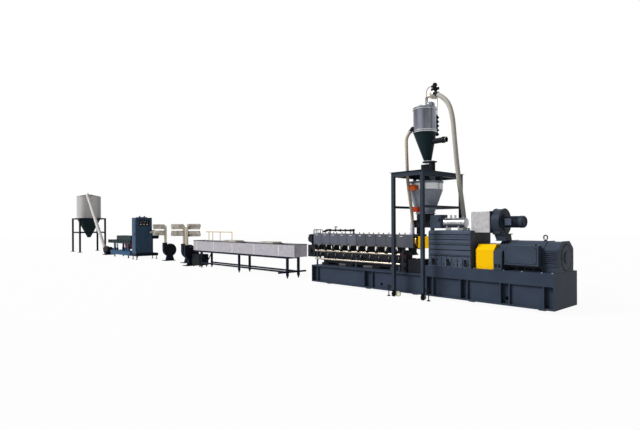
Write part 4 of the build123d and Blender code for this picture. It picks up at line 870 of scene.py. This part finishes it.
gas = Form()
GAS_Z = 1.425
gas.rod((-2.96, 0, GAS_Z), (-2.08, 0, GAS_Z), 0.022)
for post_x in (-2.96, -2.08):
    gas.turned((post_x, 0, COVER_TOP), UP, [(0, 0.042), (0.01, 0.042), (0.01, 0.018), (0.06, 0.018),
        (0.066, 0.034), (0.125, 0.034)], 18)
for knob in range(4):
    gas.turned((-2.78 + knob * 0.19, 0, GAS_Z), RIGHT, [(0, 0.03), (0.035, 0.038), (0.05, 0.026)], 16)
gas.turned((-2.735, 0, GAS_Z), UP, [(0, 0.012), (0.08, 0.012), (0.08, 0.02), (0.1, 0.02)], 16)
gas.rod((-2.79, 0, 1.515), (-2.68, 0, 1.515), 0.012, 12)
gas.prism([(-3.21, 1.395), (-3.19, 1.365), (-2.9, 1.425), (-2.9, 1.462), (-3.06, 1.455)], "Y", -0.045,
    -0.01)
gas.finish("gas_line", black_steel, "vent_piping")

arches = Form()
for arch_start, arch_end in ((-3.53, -3.35), (-3.48, -3.25), (-3.42, -3.16)):
    arches.pipe([(arch_start, -0.09, COVER_TOP - 0.02), (arch_start, -0.09, COVER_TOP + 0.105),
        (arch_end, -0.09, COVER_TOP + 0.105), (arch_end, -0.09, COVER_TOP - 0.02)], 0.009, 0.045, 10)
arches.finish("cover_arches", rubber)

# Tower wheels

TOWER_LEGS = ((-0.1, -0.72), (0.56, -0.72), (-0.1, 0.66), (0.56, 0.66))
wheels = Form()
for leg_x, leg_y in TOWER_LEGS:
    wheels.turned((leg_x + 0.035, leg_y - 0.02, 0.062), FAR,
        [(0, 0.022), (0.004, 0.05), (0.004, 0.06), (0.036, 0.06), (0.036, 0.05), (0.04, 0.022)], 24)
cream_plastic = surface("cream_plastic", (226, 224, 200), 0.5, mottling=0.05)
wheels.finish("tower_wheels", cream_plastic)

# Hopper, its sensors and the loader above it

HOPPER_X = 0.149
HOPPER_RADIUS = 0.381
CONE_TOP = 2.331
HOPPER_BOTTOM = 1.805
turned_piece("hopper_body", hopper_steel, (HOPPER_X, 0, HOPPER_BOTTOM), UP,
    [(0, 0.225), (0.012, 0.225), (0.012, 0.196), (CONE_TOP - HOPPER_BOTTOM, HOPPER_RADIUS),
    (2.49 - HOPPER_BOTTOM, HOPPER_RADIUS), (2.49 - HOPPER_BOTTOM, HOPPER_RADIUS + 0.01),
    (2.512 - HOPPER_BOTTOM, HOPPER_RADIUS + 0.01)], 56, "hopper")

turned_piece("hopper_band", zinc, (HOPPER_X, 0, 2.345), UP, band(HOPPER_RADIUS, 0.138, 0.003, 0.003), 56)

hopper_trim = Form()
hopper_trim.turned((HOPPER_X, 0, CONE_TOP - 0.004), UP,
    [(0, HOPPER_RADIUS), (0.004, HOPPER_RADIUS + 0.004), (0.008, HOPPER_RADIUS)], 56)
hopper_trim.bolts([(x, y, HOPPER_BOTTOM + 0.012) for x, y in circle((HOPPER_X, 0), 0.211, 12, 0.5)], UP,
    0.008, 0.008)
hopper_trim.finish("hopper_bolts", zinc)


def sensor(name, middle, width, height, depth, finish):
    """A level sensor: a rounded head with its lid and gland."""
    x, y, z = middle
    head = Form()
    near_y = y - depth / 2
    corner = 0.014
    half_width, half_height = width / 2, height / 2
    quarter = [(half_width - corner, half_height), (half_width, half_height - corner)]
    outline = [(x + a, z + b) for a, b in quarter]
    outline += [(x + a, z - b) for a, b in reversed(quarter)]
    outline += [(x - a, z - b) for a, b in quarter]
    outline += [(x - a, z + b) for a, b in reversed(quarter)]
    head.prism(outline, "Y", near_y + 0.03, y + depth / 2)
    head.prism([(x + (a - x) * 1.03, z + (b - z) * 1.03) for a, b in outline], "Y", near_y + 0.006,
        near_y + 0.03)
    head.prism([(x + (a - x) * 0.72, z + (b - z) * 0.72) for a, b in outline], "Y", near_y,
        near_y + 0.006)
    head.turned((x - half_width, y + 0.01, z), LEFT,
        [(0, 0.014), (0.018, 0.014), (0.018, 0.009), (0.03, 0.008)], 10)
    head.finish(name, finish, bevel=0.002)


red_plastic = surface("red_plastic", (206, 70, 34), 0.4, mottling=0.05)
sensor("upper_level_sensor", (HOPPER_X, -0.452, 2.376), 0.145, 0.116, 0.105, orange_plastic)
sensor("lower_level_sensor", (HOPPER_X, -0.34, 1.9), 0.115, 0.11, 0.1, red_plastic)
sensor_stubs = Form()
sensor_stubs.rod((HOPPER_X, -0.42, 2.376), (HOPPER_X, -0.37, 2.376), 0.024)
sensor_stubs.rod((HOPPER_X, -0.31, 1.9), (HOPPER_X, -0.2, 1.9), 0.024)
sensor_stubs.finish("sensor_stubs", zinc, "level_sensors")

LOADER_X = 0.14
LOADER_RADIUS = 0.255
loader = Form()
loader.skin([[(x, y, z) for x, y in circle((middle_x, 0), radius, 56)]
    for middle_x, radius, z in ((0.214, 0.08, 2.975), (LOADER_X, LOADER_RADIUS, 3.625))])
loader.finish("loader_cone", teal_paint, "loader_body")
turned_piece("loader_cylinder", loader_steel, (LOADER_X, 0, 3.625), UP,
    [(0, LOADER_RADIUS), (0.54, LOADER_RADIUS)], 64)
bands = Form()
for band_z in (3.62, 3.655, 4.128):
    bands.turned((LOADER_X, 0, band_z), UP, band(LOADER_RADIUS, 0.03, 0.014, 0.004), 56)
bands.turned((0.214, 0, 2.975), UP, [(0, 0.094), (0.016, 0.094)], 32)
bands.finish("loader_clamp_bands", zinc)

turned_piece("loader_stub", dark_iron, (LOADER_X, 0, 3.41), RIGHT,
    [(0, 0.06), (0.46, 0.06), (0.46, 0.07), (0.51, 0.07), (0.52, 0.058), (0.56, 0.058)], 28)
turned_piece("loader_stub_cap", knife_steel, (0.695, 0, 3.41), RIGHT,
    [(0, 0.062), (0.004, 0.062), (0.005, 0.046)], 28)

valves = Form()
strip_side = Vector((0.675, 0.738, 0))
for step in range(5):
    place = Vector((LOADER_X, 0, 3.56 + step * 0.095)) + strip_side * (LOADER_RADIUS + 0.022)
    valves.turned(place, UP, [(0, 0.02), (0.012, 0.032), (0.06, 0.03), (0.066, 0.018), (0.095, 0.018)],
        12)
    valves.turned(place + Vector((0, 0, 0.035)), strip_side, [(0, 0.016), (0.04, 0.016), (0.046, 0.01)],
        12)
valves.finish("loader_valve_strip", black_steel)

lid = Form()
lid.turned((LOADER_X, 0, 4.165), UP, [(0, 0.262), (0.018, 0.262), (0.034, 0.222), (0.038, 0.1)], 56)


def dome(form, x, radius, wall, rise):
    """A round housing with a rounded top, standing on the loader's lid."""
    profile = [(0, radius), (wall, radius)]
    for step in range(1, 7):
        angle = math.pi / 2 * step / 6
        profile.append((wall + rise * math.sin(angle), max(radius * math.cos(angle), 0.004)))
    form.turned((x, 0, 4.185), UP, profile, 32)


dome(lid, 0.29, 0.1, 0.055, 0.06)
dome(lid, 0.04, 0.07, 0.045, 0.05)
lid.finish("loader_lid_body", loader_steel, "loader_lid")
head = Form()
head.turned((0.395, -0.062, 4.427), FAR, [(0, 0.05), (0.01, 0.078), (0.01, 0.092), (0.022, 0.092),
    (0.022, 0.082), (0.115, 0.082), (0.124, 0.06)], 36)
head.pipe([(0.19, 0, 4.18), (0.19, 0, 4.427), (0.395, 0, 4.427)], 0.032, 0.05)
head.finish("suction_head", knife_steel)
cluster = Form()
cluster.turned((0.41, 0, 4.5), UP, [(0, 0.024), (0.03, 0.056), (0.08, 0.06), (0.1, 0.04), (0.125, 0.04),
    (0.13, 0.054), (0.17, 0.05), (0.194, 0.026)], 18)
cluster.rod((0.32, 0.01, 4.56), (0.5, 0.01, 4.56), 0.032)
cluster.rod((0.35, -0.045, 4.61), (0.47, -0.045, 4.61), 0.02)
cluster.finish("suction_valves", black_steel)
air_line = Form()
air_line.pipe([(0.19, 0, 4.45), (0.187, 0, 4.56), (0.249, 0, 4.63), (0.4, 0, 4.655)], 0.012, 0.06, 10)
line_foot = Vector((LOADER_X, 0, 4.02)) + strip_side * (LOADER_RADIUS + 0.02)
air_line.pipe([line_foot, line_foot + Vector((0.02, 0, 0.3)), (0.44, 0.02, 4.56)], 0.008, 0.08, 8)
air_line.finish("loader_air_lines", pipe_steel)
socket = Form()
for route, inner, outer, reach in ((VACUUM_HOSE_POINTS, 0.056, 0.062, 0.085),
        (FEED_HOSE_POINTS, 0.042, 0.047, 0.11)):
    inward = (Vector(route[0]) - Vector(route[1])).normalized()
    socket.turned(Vector(route[0]) + inward * reach, -inward,
        [(0, inner), (reach, inner), (reach, outer), (reach + 0.012, outer)], 24)
socket.finish("hose_sockets", dark_iron)

# Water trough

trough_low, trough_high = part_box("water_trough")
trough_trim = Form()
SEAM_PLACES = (-10.008, -8.758, -7.507, -6.213, -4.931)
for seam_x in SEAM_PLACES:
    for face_y, outward in ((trough_low[1], -1), (trough_high[1], 1)):
        near, far = sorted((face_y, face_y + outward * 0.004))
        trough_trim.block(*span(seam_x, 0.018), near, far, trough_low[2] + 0.004, trough_high[2] - 0.018)
trough_trim.finish("trough_seams", pale_plastic, bevel=0.001)
# A real rim, painted dark iron to stand for the shade along the trough's top edge.
rim = Form()
rim_low, rim_high = trough_high[2] - 0.016, trough_high[2] + 0.002
for side, outward in ((0, -1), (1, 1)):
    face_x, face_y = (trough_low, trough_high)[side][:2]
    near, far = sorted((face_y - outward * 0.004, face_y + outward * 0.014))
    rim.block(trough_low[0] - 0.014, trough_high[0] + 0.014, near, far, rim_low, rim_high)
    near, far = sorted((face_x - outward * 0.004, face_x + outward * 0.014))
    rim.block(near, far, trough_low[1] - 0.012, trough_high[1] + 0.012, rim_low, rim_high)
rim.finish("trough_rim", dark_iron, bevel=0.003)
TROUGH_WALL = 0.012
WATER_BOTTOM = 0.655
WATER_TOP = 0.885
water = Form()
water_x = (trough_low[0] + TROUGH_WALL, trough_high[0] - TROUGH_WALL)
water_y = (trough_low[1] + TROUGH_WALL, trough_high[1] - TROUGH_WALL)
water.block(*water_x, *water_y, WATER_BOTTOM, WATER_TOP)
water_finish = surface("water", (96, 112, 118), 0.08, mottling=0.05, grain=12, relief=0.25)
water.finish("trough_water", water_finish)
brace = Form()
for side_y in (-0.24, 0.2):
    brace.pipe([(-9.665, side_y, 0.56), (-9.665, -0.02, 0.175)], 0.02, 0.01, 4)
brace.finish("trough_braces", navy_paint)

# Air knives and their blowers

STATIONS = ((-13.95, 1), (-12.14, 1), (-10.71, -1))
KNIFE_HALF_LENGTH = 0.235
RISER_OFFSET = 0.305
RISER_RADIUS = 0.062
RISER_TOP = 1.535
BRANCH_Z = 1.25
BLOWER_AXIS_Z = 0.5
BLOWER_OFFSET = 0.196
BLOWER_BOLT_RADIUS = 0.215
knives = Form()
for middle_x, side in STATIONS:
    for tip_z, back_z in ((1.424, 1.64), (1.362, 1.142)):
        middle_z = (tip_z + back_z) / 2
        rise = (back_z - middle_z)
        chamber = []
        for step in range(11):
            angle = math.pi * step / 10
            chamber.append((middle_x + 0.105 * math.cos(angle),
                middle_z + rise * (0.25 + 0.75 * math.sin(angle))))
        chamber += [(middle_x - 0.03, tip_z), (middle_x + 0.03, tip_z)]
        knives.prism(chamber, "Y", -KNIFE_HALF_LENGTH, KNIFE_HALF_LENGTH)
        for end_y in (-KNIFE_HALF_LENGTH - 0.006, KNIFE_HALF_LENGTH - 0.006):
            widened = [(middle_x + (a - middle_x) * 1.05, middle_z + (b - middle_z) * 1.03)
                for a, b in chamber]
            knives.prism(widened, "Y", end_y, end_y + 0.012)
knives.finish("knife_chambers", knife_steel, "air_knives")

risers = Form()
for middle_x, side in STATIONS:
    riser_y = side * RISER_OFFSET
    risers.pipe([(middle_x, riser_y, 0.8), (middle_x, riser_y, RISER_TOP),
        (middle_x, side * 0.2, RISER_TOP)], RISER_RADIUS, 0.1, 20)
    risers.rod((middle_x, riser_y, BRANCH_Z), (middle_x, side * 0.2, BRANCH_Z), 0.05)
    for collar_z in (0.805, 1.15, 1.33):
        risers.turned((middle_x, riser_y, collar_z), UP,
            [(0, RISER_RADIUS + 0.006), (0.022, RISER_RADIUS + 0.006)], 20)
risers.finish("riser_pipes", pipe_steel, "air_risers")

housings = Form()
inlets = Form()
for middle_x, side in STATIONS:
    mouth_y = side * RISER_OFFSET
    centre_y = mouth_y + BLOWER_OFFSET
    outline = scroll_outline((centre_y, BLOWER_AXIS_Z), 0.262, 0.012, 0.15, 0.31)
    housings.prism(outline, "X", middle_x - 0.075, middle_x + 0.075)
    wide = scroll_outline((centre_y, BLOWER_AXIS_Z), 0.274, 0.012, 0.15, 0.312)
    for plate_x in (middle_x - 0.08, middle_x + 0.075):
        housings.prism(wide, "X", plate_x, plate_x + 0.005)
    housings.block(*span(middle_x, 0.09), *span(mouth_y, 0.085), 0.806, 0.816)
    housings.turned((middle_x - 0.08, centre_y, BLOWER_AXIS_Z), LEFT,
        [(0, 0.12), (0.02, 0.105), (0.2, 0.105), (0.22, 0.085), (0.23, 0.04)], 28)
    housings.prism([(centre_y - 0.2, 0), (centre_y + 0.2, 0), (centre_y + 0.1, 0.34),
        (centre_y - 0.1, 0.34)], "X", middle_x - 0.06, middle_x + 0.06)
    housings.block(middle_x - 0.3, middle_x + 0.1, *span(centre_y, 0.24), 0, 0.022)
    inlets.turned((middle_x + 0.08, centre_y, BLOWER_AXIS_Z), RIGHT,
        [(0, 0.24), (0.008, 0.24), (0.008, 0.15), (0.03, 0.15), (0.03, 0.132), (0.012, 0.128)], 36)
    inlets.bolts([(middle_x + 0.088, y, z)
        for y, z in circle((centre_y, BLOWER_AXIS_Z), BLOWER_BOLT_RADIUS, 8)], RIGHT, 0.009, 0.009)
housings.finish("blower_housings", navy_paint, "blowers", bevel=0.002)
inlets.finish("blower_inlets", black_steel)

# Pelletizer

CABINET_FACE_X = -15.6
infeed = Form()
infeed.prism([(CABINET_FACE_X, 1.19), (-15.47, 1.27), (-15.47, 1.31), (CABINET_FACE_X, 1.37)], "Y", 0.317,
    0.532)
infeed.rod((-15.48, 0.325, 1.29), (-15.48, 0.525, 1.29), 0.03, 20)
infeed.finish("infeed_chute", navy_paint, "pelletizer_infeed", bevel=0.002)
guide_rings = Form()
for ring_y, ring_z, ring_radius, ring_inner in ((0.33, 1.3, 0.045, 0.03), (0.26, 1.27, 0.05, 0.034)):
    guide_rings.turned((-15.45, ring_y, ring_z), RIGHT,
        [(0, ring_radius), (0.012, ring_radius), (0.02, ring_inner)], 16)
guide_rings.finish("infeed_guide_rings", pale_plastic)
window = Form()
window.block(CABINET_FACE_X, CABINET_FACE_X + 0.004, -0.234, 0.259, 1.564, 1.845)
window.finish("pelletizer_window", black_steel)
panel = Form()
for lamp in range(5):
    for lamp_z, base_radius, tip_radius, depth in ((1.795, 0.014, 0.009, 0.014),
            (1.725, 0.011, 0.008, 0.012)):
        panel.turned((CABINET_FACE_X + 0.004, lamp * 0.085 - 0.17, lamp_z), RIGHT,
            [(0, base_radius), (depth - 0.006, base_radius), (depth, tip_radius)], 14)
for meter_y in (-0.15, 0, 0.15):
    panel.block(CABINET_FACE_X + 0.004, CABINET_FACE_X + 0.01, *span(meter_y, 0.032), 1.61, 1.665)
panel.finish("pelletizer_panel", pale_plastic, bevel=0.001)
frame_strips = Form()
for low_y, high_y, low_z, high_z in ((-0.246, 0.271, 1.845, 1.857), (-0.246, 0.271, 1.552, 1.564),
        (-0.246, -0.234, 1.564, 1.845), (0.259, 0.271, 1.564, 1.845)):
    frame_strips.block(CABINET_FACE_X, CABINET_FACE_X + 0.01, low_y, high_y, low_z, high_z)
frame_strips.block(-16.035, -15.645, -0.392, -0.385, 0.34, 1.91)
frame_strips.block(-15.995, -15.685, -0.395, -0.392, 0.38, 1.87)
frame_strips.block(CABINET_FACE_X, CABINET_FACE_X + 0.004, -0.345, 0.35, 0.33, 1.48)
for knob_y in (-0.1, 0.12):
    frame_strips.turned((-15.84, knob_y, 1.98), UP,
        [(0, 0.016), (0.02, 0.016), (0.026, 0.04), (0.05, 0.04), (0.06, 0.026)], 16)
frame_strips.rod((-15.7, -0.405, 1.1), (-15.7, -0.405, 1.24), 0.009, 10)
frame_strips.finish("pelletizer_doors", cabinet_paint, bevel=0.002)

# Vibrating sieve

springs = Form()
for spring_x in (-18.79, -18.47, -17.2, -16.9):
    for spring_y in (-0.205, 0.205):
        coil = []
        for step in range(97):
            angle = math.tau * 6 * step / 96
            coil.append((spring_x + 0.038 * math.cos(angle), spring_y + 0.038 * math.sin(angle),
                0.47 + 0.22 * step / 96))
        springs.pipe(coil, 0.008, 0.001, 6)
        springs.block(*span(spring_x, 0.055), *span(spring_y, 0.04), 0.33, 0.47)
springs.finish("sieve_springs", blue_paint)
deck_trim = Form()
for edge_y in (-0.258, 0.25):
    deck_trim.block(-19.7, -16.65, edge_y, edge_y + 0.008, 0.85, 0.872)
for clamp in range(9):
    clamp_x = -19.55 + clamp * 0.33
    deck_trim.block(clamp_x, clamp_x + 0.035, -0.266, -0.25, 0.75, 0.87)
deck_trim.finish("sieve_rims", dark_iron, bevel=0.001)

# Conveying fan and its duct

fan = Form()
FAN_CENTRE = (-20.7, 0.27)
fan.prism(scroll_outline(FAN_CENTRE, 0.205, 0.01, 0.16, 0.26, math.radians(45)), "Y", -0.08, 0.08)
fan.turned((FAN_CENTRE[0], -0.08, FAN_CENTRE[1]), NEAR, [(0, 0.12), (0.02, 0.112), (0.02, 0.08)], 28)
fan.turned((FAN_CENTRE[0], 0.08, FAN_CENTRE[1]), FAR, [(0, 0.125), (0.26, 0.11), (0.29, 0.08)], 28)
fan.block(*span(FAN_CENTRE[0], 0.2), -0.14, 0.38, 0, 0.04)
fan.block(*span(FAN_CENTRE[0], 0.06), -0.07, 0.3, 0.02, 0.22)
fan.prism([(-20.56, 0.2), (-20.2, 0.25), (-20.2, 0.44), (-20.64, 0.44)], "Y", -0.12, 0.12)
fan.finish("conveying_fan_body", black_steel, "conveying_fan", bevel=0.003)

duct = Form()
DUCT_FOOT = Vector((-21.02, 0, 0.36))
DUCT_TOP = Vector((-24.2, 0.06, 3.45))
duct.pipe([DUCT_FOOT, DUCT_TOP, (-24.6, 0.185, 3.52), (-24.6, 0.185, 3.42)], 0.085, 0.092, 28)
for clamp_share in (0.02, 0.34, 0.66, 0.95):
    duct.turned(DUCT_FOOT.lerp(DUCT_TOP, clamp_share), DUCT_TOP - DUCT_FOOT,
        band(0.088, 0.04, 0.006, 0.006), 28)
duct.finish("conveying_duct_body", pale_plastic, "conveying_duct")

# Silo

silo_trim = Form()
silo_low, silo_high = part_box("silo_shell")
silo_middle = ((silo_low[0] + silo_high[0]) / 2, (silo_low[1] + silo_high[1]) / 2)
SHELL_RADIUS = 0.622
for bead_z in (2.08, 2.72, 3.372):
    silo_trim.turned((*silo_middle, bead_z), UP, band(SHELL_RADIUS, 0.026, 0.012, 0.006), 56)
silo_trim.finish("silo_beads", zinc)
turned_piece("silo_hatch", zinc, (silo_middle[0] - 0.25, silo_middle[1] - 0.22, 3.43), (-0.15, -0.1, 1),
    [(0, 0.19), (0.012, 0.2), (0.022, 0.2), (0.03, 0.17)], 40)
feet = Form()
for post_x in (-25.62, -24.18):
    for post_y in (-0.37, 1.07):
        feet.bolts([(post_x + a, post_y + b, 0.015) for a in (-0.08, 0.08) for b in (-0.08, 0.08)], UP,
            0.012, 0.014)
feet.finish("silo_foot_bolts", zinc)

bpy.context.scene.view_settings.view_transform = "Standard"
